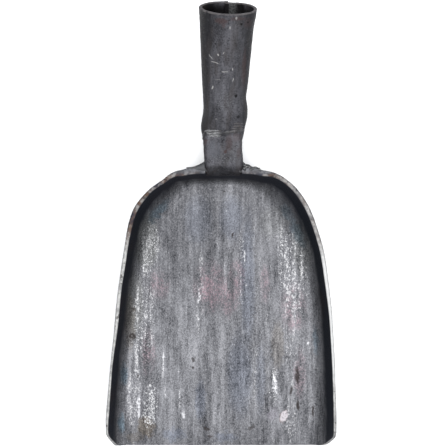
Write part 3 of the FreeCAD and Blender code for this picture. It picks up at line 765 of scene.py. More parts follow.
socket_weld = joined("joint_wrinkles", [wrinkle(n, *row) for n, row in enumerate(WRINKLES)])
print("socket weld:", len(socket_weld.data.polygons), "faces in", len(WRINKLES), "wrinkles")

# %% [markdown]
# The bead round the neck's foot sits in the corner between the bar and the outside of the back wall. It
# goes down one side, across under the foot and up the other side.

# %% The bead round the foot
foot_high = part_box("foot_weld")[1] / MM
WALL_FOOT_Y, WALL_TOP_Y = 38.9, 46.0


def outer_wall_y(z):
    """The outside of the back wall beside the neck at a height."""
    return WALL_FOOT_Y + (WALL_TOP_Y - WALL_FOOT_Y) * z / RIM_HEIGHT


def build_foot_weld():
    left_x, right_x = neck_low.x - 0.3, neck_high.x + 0.3
    top, low = foot_high.z - 2.6, NECK_FOOT_HEIGHT - 0.6
    path = [(left_x, outer_wall_y(z) + 0.4, z) for z in np.linspace(top, low + 1.5, 16)]
    path += [(left_x + 0.6, outer_wall_y(low) + 0.4, low + 0.5)]
    path += [(x, outer_wall_y(low) + 0.5, low) for x in np.linspace(left_x + 2, right_x - 2, 30)]
    path += [(right_x - 0.6, outer_wall_y(low) + 0.4, low + 0.5)]
    path += [(right_x, outer_wall_y(z) + 0.4, z) for z in np.linspace(low + 1.5, top, 16)]
    bead = path_object("foot_bead", even_steps(np.array(path, float), 150, width=3), closed=False)
    return run_tree(bead, BEAD, radius=2.1 * MM, ripple_length=2.4 * MM, ripple_size=0.09, flatness=0.5,
                    seed=7.0)


foot_weld = build_foot_weld()
print("foot weld:", len(foot_weld.data.polygons), "faces")

# %% [markdown]
# The two fillets between neck and rim differ. The left one was ground to a smooth wedge, and the right one
# is a row of lumps of bright metal. Both are a hollow wedge in plan with a domed top, and the right one
# carries a ripple across it.

# %% The rim welds
def build_rim_weld(name, box, lumps):
    low, high = (corner / MM for corner in box)
    left = low.x < 0
    inner_x = (neck_low.x + 2.5) if left else (neck_high.x - 2.5)
    outer_x = low.x if left else high.x
    points, rows, columns = [], 44, 26
    for r in range(rows + 1):
        u = r / rows
        x = inner_x + (outer_x - inner_x) * u
        front = np.interp(abs(x), *((15, 30), (41.4, 42.6)) if lumps else ((13, 26), (41.9, 43.6)))
        reach = max(1 - u, 0.0) ** 2.1
        back = 45.2 + (high.y - 46.6) * reach
        for c in range(columns + 1):
            v = c / columns
            y = front + (back - front) * v
            dome = math.sin(math.pi * v) ** 0.5
            z = 33.0 + (0.7 + 0.8 * reach) * dome - 0.4 * u
            if lumps:
                ridge = math.sin(u * 19.0 + 2.0 * math.sin(v * 5.0) + 1.2)
                z += (0.55 * ridge + 0.5 * rough(x * 0.5, y * 0.5, seed=5)) * dome * (1 - u * 0.6)
                y += 0.5 * ridge * (v - 0.3)
            else:
                z += 0.15 * rough(x * 0.25, y * 0.25, seed=6)
            points.append((x, y, min(z, high.z + 0.6)))
    top_count = len(points)
    points += [(x, y, low.z + 1.0) for x, y, _ in points]
    width = columns + 1
    faces = []
    for r in range(rows):
        for c in range(columns):
            a = r * width + c
            faces.append((a, a + 1, a + 1 + width, a + width))
            faces.append(tuple(top_count + n for n in (a + width, a + 1 + width, a + 1, a)))
    border = ([(0, c) for c in range(columns)] + [(r, columns) for r in range(rows)]
              + [(rows, c) for c in range(columns, 0, -1)] + [(r, 0) for r in range(rows, 0, -1)])
    loop = [r * width + c for r, c in border]
    for a, b in zip(loop, loop[1:] + loop[:1]):
        faces.append((a, b, b + top_count, a + top_count))
    return mesh_object(name, points, faces)


rim_weld_left = build_rim_weld("rim_fillet_left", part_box("rim_weld_left"), lumps=False)
rim_weld_right = build_rim_weld("rim_fillet_right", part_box("rim_weld_right"), lumps=True)
print("rim welds:", len(rim_weld_left.data.polygons), "and", len(rim_weld_right.data.polygons), "faces")

# %% [markdown]
# ## Hammered and pitted skin
# Forged iron is never flat. Shallow dents from the hammer are a few centimetres across, and rust leaves
# small pits between them. This tree moves every point of a mesh along its normal by two sizes of noise, so
# the dents are real shape and catch the light from any side. The seed is fixed, so each run is the same.

# %% The hammer tree
def hammer_tree():
    make, given = new_tree("hammered_iron", ["Dent size", "Dent depth", "Pit size", "Pit depth", "Seed"])
    place, normal = make.node("GeometryNodeInputPosition"), make.node("GeometryNodeInputNormal")
    dents = make.noise(place, 1.0 / given["Dent size"], 1.0, 0.5, given["Seed"]) - 0.5
    pits = make.noise(place, 1.0 / given["Pit size"], 1.0, 0.5, given["Seed"] + 5.0).between(0.60, 0.74)
    depth = dents * 2.0 * given["Dent depth"] - pits * given["Pit depth"]
    offset = make.node("ShaderNodeVectorMath", {"operation": "SCALE"}, {0: normal, 3: depth})
    moved = make.node("GeometryNodeSetPosition", None, {"Geometry": given["Geometry"], "Offset": offset})
    return close_tree(make, moved, given["Material"])


HAMMER = hammer_tree()
# dent size, dent depth, pit size, pit depth, all in millimetres, and the seed
HAMMERING = {
    "pan": (34.0, 0.55, 4.5, 0.10, 1.0),
    "neck": (16.0, 0.45, 2.4, 0.22, 2.0),
    "socket": (19.0, 0.45, 3.4, 0.16, 3.0),
    "socket_weld": (6.0, 0.30, 1.6, 0.15, 4.0),
    "rim_weld_left": (7.0, 0.30, 2.0, 0.12, 5.0),
    "rim_weld_right": (4.0, 0.35, 1.5, 0.20, 6.0),
    "foot_weld": (7.0, 0.30, 1.8, 0.15, 7.0),
}
print("hammering set for", ", ".join(HAMMERING))

# %% [markdown]
# ## Finishes
# All the iron is one metal in three states: the pan's floor, rubbed to a streaky grey by what it scooped;
# bare bright edges, where the scale has chipped off, with painted glare on the pan's right rim; and dark
# fire scale on the walls, neck and socket, with painted shade over parts of it.
# Marks that belong to one spot are ovals set by place, size and turn, with edges broken up by noise.

# %% Shared parts of the finishes
def new_material(name):
    material = bpy.data.materials.new(name)
    material.use_nodes = True
    material.node_tree.nodes.clear()
    return material, Wire(material.node_tree)


STUDIO_GAIN = 2.25
IRON_SPECULAR, IRON_GLINT = 0.22, (0.30, 0.30, 0.33, 1)


def shade(level, tint=(1, 1, 1)):
    """The paint for iron that should look this light, from 0 to 255, under the studio light, with a tint."""
    linear = ((level / 255 + 0.055) / 1.055) ** 2.4 / STUDIO_GAIN
    return (*(linear * part for part in tint), 1)


def coat(colour, amount, level, tint=(1, 1, 1)):
    """A colour with a coat of iron this light over part of it."""
    return colour.mix(amount, colour, shade(level, tint))


def millimetres(make):
    place = make.node("ShaderNodeTexCoord", output=3)
    return make.node("ShaderNodeVectorMath", {"operation": "SCALE"}, {0: place, 3: 1 / MM})


def oval(x, y, row, soft=0.4):
    """1 inside an oval and 0 outside, fading over its outer part: x, y, half x, half y, turn in degrees."""
    centre_x, centre_y, half_x, half_y, turn = row
    sine, cosine = math.sin(math.radians(turn)), math.cos(math.radians(turn))
    dx, dy = x - centre_x, y - centre_y
    along, across = (dx * cosine + dy * sine) / half_x, (dy * cosine - dx * sine) / half_y
    return (along * along + across * across).between(1, soft)


def ovals(x, y, rows, soft=0.3):
    """The strongest of several ovals. Each row ends with a strength."""
    mask = None
    for *row, strength in rows:
        one = oval(x, y, row, soft) * strength
        mask = one if mask is None else mask.maths("MAXIMUM", one)
    return mask


def iron_surface(material, make, colour, roughness, metallic, height, distance):
    """Join the wires to a metal shader, with the height as a bump in millimetres."""
    bump = make.node("ShaderNodeBump", None, {"Strength": 1, "Distance": distance * MM, "Height": height})
    shader = make.node("ShaderNodeBsdfPrincipled", None,
                       {"Base Color": colour, "Roughness": roughness, "Metallic": metallic, "Normal": bump,
                        "Specular IOR Level": IRON_SPECULAR, "Specular Tint": IRON_GLINT})
    make.node("ShaderNodeOutputMaterial", None, {"Surface": shader})
    return material


def attribute(make, name):
    return make.node("ShaderNodeAttribute", {"attribute_name": name}, output=2)


print("finish helpers ready")

# %% [markdown]
# ### The pan's iron
# The floor's grey comes in three widths of streak along the pan, under a fine grain, painted darker towards
# the back wall as shade. Over it lie patches of bright speckle where the metal is scuffed, painted as bright
# as its glints, blue-grey and pinkish areas, and single marks. The walls keep their dark scale, with painted
# shade in it, and the rim is bare metal with chips of rust and blue scale at the back and painted glare on
# the right.

# %% Marks on the pan
# each row: x, y, half x, half y, turn in degrees, strength
SCUFFS_AND_GLINTS = [
    (-55, -18, 9, 30, -6, 0.8), (-60, -72, 12, 46, -4, 0.75), (-54.5, -136, 7, 22, -4, 1),
    (-67, -126, 7, 30, -3, 0.7), (-17.5, -50, 4.5, 42, -2, 0.6), (54, -36, 14, 44, 6, 0.8),
    (56, -96, 9, 38, 3, 0.45), (16, -30, 3.2, 34, 2, 0.55), (40, -120, 4.5, 16, 0, 0.9),
    (53, -146, 6, 20, 2, 0.6), (24, -108, 6, 30, 1, 0.4),
]
WHITE_STREAKS = [
    (-63.2, -137, 1.5, 12.5, -2, 1), (-44.4, -104, 0.6, 14, -1, 0.8), (-43, -124, 0.5, 9, -1, 0.6),
    (-31.8, -131, 1.2, 11, 0, 0.5), (-29, -143, 1.8, 4, 10, 0.6), (40.6, -119, 2.4, 8, 12, 0.8),
    (-16.8, -54, 1, 10, 3, 0.5), (17.5, -22, 0.9, 7, 0, 0.6), (66.5, -88, 1.1, 2.2, 0, 0.8),
    (-32.8, -109, 0.7, 1, 0, 0.9),
]
DARK_PITS = [
    (-68, -82.5, 2.6, 3, 0, 0.9), (-21.3, -100.5, 1.8, 2.6, 0, 0.8), (-21.6, -107, 1.4, 1.4, 0, 0.9),
    (8.6, -5.4, 0.7, 2.2, 0, 1), (58, -113, 1.5, 8, 4, 0.9), (53.5, -124, 1.4, 4.5, -10, 0.9),
    (58.5, -136, 1.5, 5, 12, 1), (70, -140, 0.9, 5, 4, 0.9), (-11.5, -153.5, 3, 1.2, 25, 0.8),
    (-9, -159.5, 2.6, 1, -10, 0.7), (23, -152, 3.4, 1.6, 20, 0.6), (2.4, 27.4, 0.8, 0.8, 0, 0.9),
    (-64, -113, 1, 1.2, 0, 0.8), (-67, -62, 0.9, 1.2, 0, 0.8),
]
PINK_AREAS = [
    (-9, -45, 15, 24, 0, 0.8), (5, -52, 10, 20, 0, 0.7), (12, -38, 8, 16, 0, 0.7),
    (55, -62, 12, 22, 0, 0.7), (-48, -44, 10, 14, 0, 0.6), (-56, -96, 7, 22, 0, 0.6),
    (33, -44, 5, 20, 0, 0.5), (60, -112, 6, 24, 0, 0.5),
]
BLUE_AREAS = [
    (-16, -132, 5, 20, 0, 0.8), (20, -40, 7, 66, 0, 0.7), (8, 8, 12, 22, 0, 0.6),
    (14, -112, 12, 40, 0, 0.7), (-18, 6, 14, 24, 0, 0.5), (4, -160, 12, 5, 0, 0.8),
    (-36, -158, 12, 6, 0, 0.8), (30, -116, 5, 34, 0, 0.5),
]
TEAL_AREAS = [
    (-76.5, -149, 3.5, 10, 0, 1), (-74.5, -112, 3.5, 11, 0, 0.9), (-48, 13, 14, 5, 48, 0.8),
    (58, -4, 5, 16, 22, 0.7), (50, 12, 9, 5, -50, 0.5), (72, -86, 3, 14, 3, 0.6),
]
BROWN_AREAS = [
    (-57.5, -152.5, 8, 9, 10, 1), (-70, -72, 5, 26, 0, 0.5), (43, -90, 6, 22, 0, 0.45),
    (-66, -160, 8, 5, 0, 0.5),
]
OLIVE_AREAS = [
    (-58, -10, 12, 26, 0, 0.7), (-66, -58, 8, 30, 0, 0.6), (62, -14, 10, 26, 0, 0.5),
    (40, 4, 14, 14, 0, 0.3),
]
CHIP, CHIP_HALO = (47.5, -143.8, 3.4, 6.2, -14), (39, -143, 5.5, 6, 0)
print("marks on the floor:", sum(len(rows) for rows in (SCUFFS_AND_GLINTS, WHITE_STREAKS, DARK_PITS)))

# %% [markdown]
# The colour is worked out in layers, as a painter would lay them: the grey ground, then the tints, then the
# scuffs with their painted glints, then pits and chips, and last the dark walls and the bright rim, which
# cover the floor's layers.

# %% The pan's finish
def pan_iron():
    material, make = new_material("pan_iron")
    mm = millimetres(make)
    x, y, z = mm.parts()
    ragged = make.noise(mm, 0.35, 3, 0.6, 1) - 0.5
    ragged_y = make.noise(mm, 0.30, 3, 0.6, 2) - 0.5
    wx, wy = x + ragged * 7, y + ragged_y * 16

    hair = make.noise(make.vector(x, y * 0.10, z * 0.4), 1.1, 2, 0.6, 3) - 0.5
    streak = make.noise(make.vector(x + ragged * 2.5, y * 0.09, z * 0.3), 0.34, 3, 0.65, 4) - 0.5
    band = make.noise(make.vector(x + ragged * 3, y * 0.12, z * 0.3), 0.075, 2, 0.5, 5) - 0.5
    grain = make.noise(make.vector(x, y * 0.8, z), 1.15, 3, 0.7, 6)
    blotch = make.noise(make.vector(x, y * 0.6, z), 0.16, 3, 0.6, 7)
    clump = make.noise(make.vector(x, y * 0.5, z), 0.10, 2, 0.6, 8)

    fleck = make.noise(make.vector(x, y * 0.7, z), 1.5, 2, 0.8, 17)
    light = 1 + hair * 0.7 + streak * 1.8 + band * 1.4 + (grain - 0.5) * 2.4 + (blotch - 0.5) * 0.9
    light = light + (fleck - 0.5) * 2.6
    # Painted shade: the floor is painted darker towards the back wall, where the walls shade it, and darker
    # again over the last part before the lip.
    towards_lip = y.between(30, -120)
    light = light * (0.84 + 0.24 * towards_lip - 0.22 * y.between(-138, -166))
    dark, pale = shade(47, (0.93, 0.98, 1.16)), shade(182, (0.98, 0.985, 1.05))
    ground = make.mix(light.between(-0.2, 2.5), dark, pale)

    red_flecks = fleck.between(0.44, 0.58) * blotch.between(0.32, 0.56)
    tinted = ground
    for areas, soft, strength, tint in (
            (BLUE_AREAS, 0, 0.5, (0.76, 0.88, 1.10, 1)),
            (TEAL_AREAS, 0, 0.8, (0.70, 0.96, 1.10, 1)),
            (OLIVE_AREAS, 0.3, 0.6, (0.97, 0.99, 0.86, 1)),
            (PINK_AREAS, 0, red_flecks, (1.30, 0.80, 0.88, 1)),
            (BROWN_AREAS, 0.3, 0.8, (0.90, 0.78, 0.62, 1))):
        tinted = make.mix(ovals(wx, wy, areas, soft) * strength, tinted, tint, "MULTIPLY")

    # Bright speckle: scuffed bare metal, painted as bright as its glints, thickest in the listed patches.
    speckle = make.noise(make.vector(x, y * 0.8, z), 0.95, 3, 0.7, 9)
    scuffed_and_glinting = ovals(wx, wy, SCUFFS_AND_GLINTS, 0.4) * clump.between(0.18, 0.45)
    worn = speckle * 0.6 + fleck * 0.4 + streak * 0.35
    bright = worn.between(0.60 - 0.10 * scuffed_and_glinting, 0.67 - 0.08 * scuffed_and_glinting) * (0.45 + scuffed_and_glinting)
    scuffs_and_glints = coat(tinted, bright.maths("MINIMUM", 0.85), 203, (1, 1, 1.02))
    # Bright streaks along scratches in bare metal, painted as light as their highlight.
    white = ovals(x + ragged * 2.4 + hair * 2, y + ragged_y * 12, WHITE_STREAKS, 0)
    white = white.between(0.05, 0.5) * (speckle * 0.6 + fleck * 0.4 + streak * 0.5).between(0.44, 0.56)
    scuffs_and_glints = coat(scuffs_and_glints, white * 0.9, 226, (0.99, 0.99, 1.03))

    pits = ovals(x + ragged * 4 + hair * 1.5, y + ragged_y * 7, DARK_PITS, 0.3) * grain.between(0.30, 0.50)
    pitted = coat(scuffs_and_glints, pits * 0.9, 62, (1.15, 0.92, 0.86))
    specks = make.noise(mm, 0.75, 2, 0.6, 10).between(0.62, 0.74)
    pitted = coat(pitted, specks * 0.65, 52, (0.98, 0.98, 1.04))
    halo = oval(wx, wy, CHIP_HALO)
    pitted = coat(pitted, halo * 0.4 * grain, 178, (1.04, 0.96, 1.12))
    chip_x, chip_y = x + ragged * 5 + hair * 2, y + ragged_y * 7
    chip = oval(chip_x, chip_y, CHIP, 0)
    rusty_edge = chip.between(0, 0.3) * chip.between(0.6, 0.3) * (ragged + 0.5).between(0.4, 0.6)
    flaked = chip.between(0.10, 0.45) * fleck.between(0.30, 0.52)
    pitted = coat(pitted, flaked, 204, (1.03, 0.97, 1.02))
    pitted = coat(pitted, rusty_edge * 0.6, 120, (1.22, 0.84, 0.78))

    wear, rim, inside = attribute(make, "floor_wear"), attribute(make, "rim_wear"), attribute(make, "inside")
    # The walls' dark scale is painted about as dark as the walls look in their shade, so it is partly
    # painted shade. The back wall is painted lighter.
    wall_red = make.noise(mm, 0.05, 2, 0.5, 11).between(0.5, 0.7)
    wall = make.mix(wall_red * 0.6, shade(46, (0.80, 0.94, 1.34)), shade(44, (1.22, 0.88, 0.98)))
    wall = coat(wall, y.between(8, 30) * 0.6, 62, (0.88, 0.95, 1.24))
    wall = coat(wall, (grain - 0.35) * 0.6, 78, (0.92, 0.98, 1.1))
    edge_noise = wear + (streak + (blotch - 0.5)) * 0.30
    inner = make.mix(edge_noise.between(0.12, 0.90), wall, pitted)

    outer_grey = make.mix((blotch + streak).between(0.3, 0.75), shade(66, (0.97, 0.99, 1.06)),
                          shade(104, (0.99, 0.99, 1.03)))
    outer_rust = make.noise(mm, 0.07, 4, 0.6, 12).between(0.52, 0.68)
    outer_grey = coat(outer_grey, outer_rust * 0.5, 86, (1.18, 0.90, 0.76))
    rubbed = make.noise(make.vector(x, y * 0.06, z), 0.5, 3, 0.6, 13).between(0.48, 0.70)
    outer_grey = coat(outer_grey, rubbed * z.between(1.2, 0.2) * 0.6, 150)
    body = make.mix(inside, outer_grey, inner)

    chips = make.noise(mm, 0.22, 3, 0.65, 14)
    at_back = y.between(-24, 4) * (1 - 0.5 * x.between(40, 60))
    beside_neck = y.between(38, 43)
    bare = make.mix(chips.between(0.35, 0.65), shade(168, (1, 1, 1)), shade(222, (1.01, 1, 0.98)))
    dashes = make.noise(make.vector(x, y, z * 2), 0.30, 2, 0.6, 15).between(0.60, 0.68)
    bare = coat(bare, dashes * 0.8, 84, (1.06, 0.98, 0.94))
    # Painted glare: the right-hand rim is painted near white where it catches the light.
    painted_rim_glare = x.between(66, 78) * y.between(-4, -30) * y.between(-128, -100)
    bare = coat(bare, painted_rim_glare * 0.85, 240)
    scale = make.noise(mm, 0.16, 3, 0.6, 16).between(0.40, 0.62)
    rusty = make.mix(scale, shade(96, (1.30, 0.86, 0.68)), shade(66, (0.90, 0.94, 1.30)))
    rusty = coat(rusty, chips.between(0.46, 0.64), 160, (1.02, 0.98, 0.95))
    rusty = coat(rusty, dashes * 0.7, 50, (1.1, 0.96, 0.92))
    grey = make.mix(chips.between(0.35, 0.65), shade(96, (0.96, 0.98, 1.06)), shade(130, (0.97, 0.98, 1.06)))
    rusty = make.mix(beside_neck, rusty, grey)
    rim_colour = make.mix(at_back, bare, rusty)
    colour = make.mix(rim, body, rim_colour)

    on_floor = wear.between(0.3, 0.9) * inside
    roughness = 0.60 + (grain - 0.5) * 0.3 + (0.12 * pits - 0.10 * bright - 0.10) * on_floor
    metallic = 0.35 + 0.30 * on_floor + 0.35 * rim
    height = (grain - 0.5) * 0.8 + ((speckle - 0.5) * 1.2 + hair * 0.7 - pits * 0.8) * on_floor
    return iron_surface(material, make, colour, roughness.maths("MINIMUM", 0.85), metallic, height, 0.10)


PAN_IRON = pan_iron()
print("pan finish:", len(PAN_IRON.node_tree.nodes), "nodes")

# %% [markdown]
# ### The handle's iron
# The neck and socket are still in their fire scale: a dark, slightly blue grey with long faint draw marks,
# a few light scratches, brown rust below the mouth, and barer metal on the mouth's edge. Over it lie a
# painted highlight on the lap of the seam and painted shade inside the socket, on the sides of socket and
# neck and on the neck's roll over the rim. The marks are placed on the handle line, so x is across it and t
# runs up from the toe.

# %% The handle's finish
SCRATCHES = [
    (-10.7, 66.3, 2.9, 0.35, -46, 0.6), (-7.6, 62.8, 3.6, 0.4, -12, 0.7), (-5.6, 68.9, 1.1, 0.6, -50, 0.8),
    (-1.6, 70.7, 1.1, 0.35, 60, 0.5), (-0.3, 56.4, 3.4, 0.32, 3, 0.5), (5.1, 58.3, 0.4, 1.4, 0, 0.6),
    (5.9, 50.4, 0.4, 1.6, -15, 0.8), (-8.9, 43.3, 0.6, 1.8, -16, 1.1), (-5.1, 49.9, 3.2, 0.3, 6, 0.25),
    (2.3, 89.7, 0.8, 1.6, 0, 0.35), (6.4, 96.6, 0.9, 1.3, 0, 0.45),
]
SOCKET_PITS = [
    (10.4, 92, 1.1, 1.1, 0, 0.9), (14.9, 92.8, 0.8, 0.8, 0, 0.8), (8.5, 37.6, 1.3, 1.5, 0, 1),
    (10.6, 21.5, 1.2, 1.5, 0, 0.8), (-7.8, 76.8, 0.7, 0.8, 0, 0.8),
]
RUST_STAINS = [
    (-4, 94.4, 6, 3.2, 0, 0.9), (-2.6, 91.4, 2, 3, 0, 0.6), (8, 96.2, 8, 1.8, 0, 0.6),
    (15, 92, 4, 5, 0, 0.4), (13.5, 58, 2, 18, 0, 0.6), (4.6, 1.5, 3.2, 8.5, 0, 0.55),
    (2.3, -5.3, 1.3, 1.9, 0, 1.2), (10, 6, 5, 4, 12, 0.4), (-12.6, 2, 1.3, 3.6, 0, 0.6),
    (12.5, -6, 2.4, 5, 0, 0.4), (-12, -22, 1.6, 2, 0, 0.8),
]
PALE_BLUE = [(-6, -3.5, 6, 8, 0, 0.8)]
MOTTLED = [
    (4, -10, 13, 4.5, 0, 1), (9.5, -5, 6, 8, 0, 0.7), (1, 33, 8, 9, 0, 0.6),
]


def handle_iron():
    material, make = new_material("handle_iron")
    mm = millimetres(make)
    back_to_axis = HANDLE_LINE.inverted()
    place = make.node("ShaderNodeTexCoord", output=3)
    rows = [back_to_axis[row][:3] for row in range(3)]
    x, t, up = [make.node("ShaderNodeVectorMath", {"operation": "DOT_PRODUCT"},
                          {0: place, 1: tuple(value / MM for value in rows[row])}, output=1)
                + back_to_axis[row][3] / MM for row in range(3)]
    ragged = make.noise(mm, 0.5, 3, 0.6, 21) - 0.5
    draw = make.noise(make.vector(x, t * 0.22, up), 0.40, 3, 0.6, 22) - 0.5
    cloud = make.noise(make.vector(x, t * 0.4, up), 0.11, 3, 0.55, 23)
    grain = make.noise(mm, 1.3, 2, 0.6, 24)
    front = up.between(-2, 8)

    light = 1 + draw * 1.2 + (cloud - 0.5) * 1.8 + (grain - 0.5) * 1.5
    on_socket = t.between(4, 12)
    # The neck is painted lighter than the socket, and the scale a little darker towards the mouth and over a
    # band above the toe. Painted shade: the neck darker where it rolls over the rim, and the sides of socket
    # and neck darker where they turn away from the light.
    light = light * (1.26 - 0.24 * on_socket - 0.08 * t.between(40, 95))
    light = light * (1 - 0.12 * t.between(12, 17) * t.between(27, 20))
    light = light * (1 - 0.45 * t.between(-15, -19))
    light = light * (1 - 0.55 * x.between(-7, -17) * on_socket) * (1 - 0.42 * x.between(9, 18) * on_socket)
    light = light * (1 - 0.35 * x.between(-10, -13)) * (1 - 0.35 * x.between(12, 15))
    colour = make.mix(light.between(0, 2), shade(36, (0.99, 0.97, 1.12)), shade(136, (0.985, 0.98, 1.09)))
    mottled = ovals(x, t, MOTTLED) * front * grain.between(0.48, 0.62)
    colour = coat(colour, mottled * 0.75, 150, (0.97, 1, 1.06))
    dark_mottle = make.noise(mm, 0.75, 3, 0.6, 25).between(0.54, 0.68)
    colour = coat(colour, dark_mottle * 0.55, 38, (1, 0.98, 1.05))
    pale_mottle = make.noise(mm, 0.6, 3, 0.65, 29).between(0.58, 0.74) * front
    colour = coat(colour, pale_mottle * 0.45, 140, (0.98, 0.98, 1.05))
    colour = coat(colour, ovals(x, t + ragged * 3, PALE_BLUE) * front * 0.45, 122, (0.93, 0.98, 1.12))
    side_brown = make.noise(make.vector(x, t * 0.3, up), 0.12, 3, 0.6, 26).between(0.48, 0.66)
    colour = coat(colour, side_brown * 0.40, 74, (1.12, 0.94, 0.86))
    rust = ovals(x + ragged * 4, t + ragged * 4, RUST_STAINS, 0.1) * front
    colour = coat(colour, rust * (0.35 + 0.6 * cloud), 82, (1.36, 0.82, 0.78))
    rust_back = make.noise(mm, 0.06, 4, 0.65, 27).between(0.52, 0.66) * (1 - front)
    colour = coat(colour, rust_back * 0.55, 84, (1.30, 0.88, 0.70))

    pits = ovals(x, t, SOCKET_PITS) * front
    colour = coat(colour, pits * 0.9, 30)
    scratches = ovals(x + ragged * 1.2, t + ragged * 1.6, SCRATCHES, 0.2) * front * (0.8 + grain * 1.2)
    colour = coat(colour, scratches.maths("MINIMUM", 0.95), 200, (1.02, 1, 0.98))

    radius = (x * x + up * up) ** 0.5
    skin_radius = 16 + 4.6 * t.between(28, 99)
    # Painted shade: the inside of the socket, from a little above the plug to the mouth, is painted near
    # black.
    hollow = (radius - skin_radius).between(-1.6, -2.4) * t.between(19, 23)
    colour = coat(colour, hollow * 0.95, 18, (1.05, 0.98, 1))
    mouth = t.between(98.5, 99.3)
    rim_light = mouth * make.noise(mm, 0.4, 2, 0.6, 28).between(0.25, 0.6)
    colour = coat(colour, rim_light * 0.8, 150, (1.05, 0.98, 0.98))
    # Painted highlight on the lap of the seam inside the mouth, where the lapped edge catches the light.
    lap = x.between(0.6, 1) * x.between(8, 4) * up.between(-6, -12) * t.between(60, 85) * hollow
    colour = coat(colour, lap * grain.between(0.35, 0.6) * 0.8, 112, (0.98, 1, 1))

    roughness = 0.55 + (grain - 0.5) * 0.35 + (cloud - 0.5) * 0.3 + rust * 0.15
    height = (grain - 0.5) * 1.4 + draw * 0.6 - pits * 3 + mottled * 1.2 - dark_mottle * 0.9
    return iron_surface(material, make, colour, roughness, 0.45 + 0.3 * rim_light, height, 0.14)


HANDLE_IRON = handle_iron()
print("handle finish:", len(HANDLE_IRON.node_tree.nodes), "nodes")

# %% [markdown]
# ### The weld metal
# The beads are the same iron, a shade lighter on the crests: partly rubbed metal, partly painted highlight.
# The crest is found from the mesh's own pointiness, so the light edge follows each ripple. Painted
# highlights also lie on the joint's ridges beside the neck. The lumps to the right of the neck are the
# brightest metal, and rust has started in the hollows.

# %% The welds' finish
def weld_iron():
    material, make = new_material("weld_iron")
    mm = millimetres(make)
    x, y, z = mm.parts()
    grain = make.noise(mm, 1.2, 3, 0.65, 31)
    cloud = make.noise(mm, 0.22, 3, 0.6, 32)
    crest = make.node("ShaderNodeNewGeometry", output=7)
    on_right = x.between(15, 18) * y.between(54, 50) * z.between(28, 32)
    on_left = x.between(-11, -14) * y.between(54, 50) * z.between(28, 32)
    on_joint = y.between(53, 55)
    colour = make.mix((grain + cloud - 0.5).between(0.3, 0.75), shade(62, (0.97, 0.98, 1.06)),
                      shade(104, (0.98, 0.99, 1.04)))
    rust = make.noise(mm, 0.18, 3, 0.6, 33).between(0.52, 0.66)
    colour = coat(colour, rust * 0.5, 86, (1.35, 0.88, 0.76))
    # Crests of the ripples: rubbed metal, also painted lighter as their highlight.
    rubbed = crest.between(0.50, 0.60)
    colour = coat(colour, rubbed * (0.25 + 0.55 * on_right), 186, (1, 1, 0.99))
    bright_flecks = grain.between(0.50, 0.60) * on_right
    colour = coat(colour, bright_flecks * 0.6, 190, (0.98, 1, 0.99))
    colour = coat(colour, on_left * 0.6, 104, (0.97, 0.99, 1.05))
    # Painted highlights on the weld's ridges beside the neck, left and right.
    left_light = x.between(2, -6) * x.between(-14, -11) * on_joint * z.between(38, 42)
    colour = coat(colour, left_light * grain.between(0.34, 0.56), 166, (1, 1, 1.02))
    right_light = x.between(4, 8) * x.between(15, 12) * on_joint * z.between(44, 47)
    colour = coat(colour, right_light * grain.between(0.40, 0.66), 118, (1.02, 0.99, 1.01))
    pink = x.between(3, 6) * on_joint * rubbed
    colour = coat(colour, pink * 0.4, 128, (1.12, 0.95, 0.96))
    roughness = 0.50 + (grain - 0.5) * 0.4
    height = (grain - 0.5) * 1.2 + (cloud - 0.5)
    return iron_surface(material, make, colour, roughness, 0.50 + 0.25 * on_right, height, 0.14)


WELD_IRON = weld_iron()
print("weld finish:", len(WELD_IRON.node_tree.nodes), "nodes")

# %% [markdown]
# ## Putting the pieces in place of the CAD nodes
# Each finished mesh is hammered and given its finish, takes the place of its CAD node and rides on the
# one body, and the CAD node is hidden.

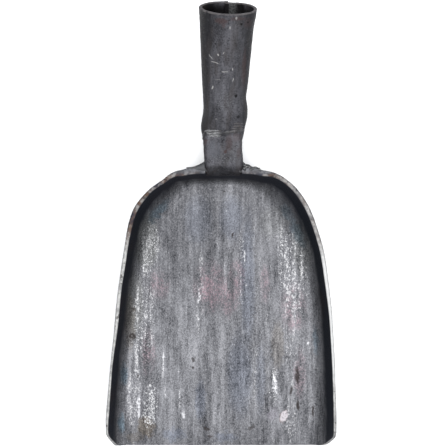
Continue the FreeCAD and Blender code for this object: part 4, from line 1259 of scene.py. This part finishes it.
# %% Hammer, finish and attach
PIECES = [
    (pan, "pan", PAN_IRON, "pan_iron"), (neck, "neck", HANDLE_IRON, "handle_iron"),
    (socket, "socket", HANDLE_IRON, "handle_iron"), (socket_weld, "socket_weld", WELD_IRON, "weld_iron"),
    (rim_weld_left, "rim_weld_left", WELD_IRON, "weld_iron"),
    (rim_weld_right, "rim_weld_right", WELD_IRON, "weld_iron"),
    (foot_weld, "foot_weld", WELD_IRON, "weld_iron"),
]
for piece, node, finish, slot in PIECES:
    dent, dent_depth, pit, pit_depth, seed = HAMMERING[node]
    run_tree(piece, HAMMER, material=finish, dent_size=dent * MM, dent_depth=dent_depth * MM,
             pit_size=pit * MM, pit_depth=pit_depth * MM, seed=seed)
    finish_mesh(piece)
    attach(piece, "root")
    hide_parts(node)

# %% [markdown]
# ## Floor, light and camera
# A plain pale floor, a large soft light above and a weaker one in front show the shape without hard
# shadows. The camera looks straight down on the pan, as it would for a catalogue.

# %% Stage
def stage_floor():
    half = 6000.0
    corners = [(-half, -half, 0), (half, -half, 0), (half, half, 0), (-half, half, 0)]
    floor = mesh_object("floor", corners, [(0, 1, 2, 3)])
    floor.location.z = -0.0005
    material, make = new_material("pale_floor")
    paint = {"Base Color": (0.93, 0.93, 0.93, 1.0), "Roughness": 0.9}
    shader = make.node("ShaderNodeBsdfPrincipled", None, paint)
    make.node("ShaderNodeOutputMaterial", None, {"Surface": shader})
    floor.data.materials.append(material)


def area_light(name, place, size, power):
    """A soft round light aimed at the origin."""
    light = bpy.data.lights.new(name, "AREA")
    light.shape, light.size, light.energy = "DISK", size, power
    obj = new_object(name, light)
    obj.location = place
    obj.rotation_euler = (-Vector(place)).to_track_quat("-Z", "Y").to_euler()


stage_floor()
area_light("soft_top", (0.04, 0.1, 1.8), size=1.8, power=52.0)
area_light("soft_front", (0.4, -1.5, 1.3), size=1.4, power=9.0)
world = bpy.data.worlds.new("studio")
world.use_nodes = True
sky = world.node_tree.nodes["Background"].inputs
sky["Color"].default_value, sky["Strength"].default_value = (0.93, 0.96, 1.0, 1.0), 0.7
bpy.context.scene.world = world
bpy.context.scene.view_settings.view_transform = "Standard"

CAMERA_HEIGHT, FIELD, SENSOR = 1.2, 0.343, 36.0
camera_data = bpy.data.cameras.new("camera")
camera_data.sensor_width, camera_data.lens = SENSOR, SENSOR * CAMERA_HEIGHT / FIELD
camera = new_object("camera", camera_data)
camera.location = (0.00198, 0.00295, CAMERA_HEIGHT)
bpy.context.scene.camera = camera
print("lens", round(camera_data.lens, 1), "mm at", CAMERA_HEIGHT, "m")
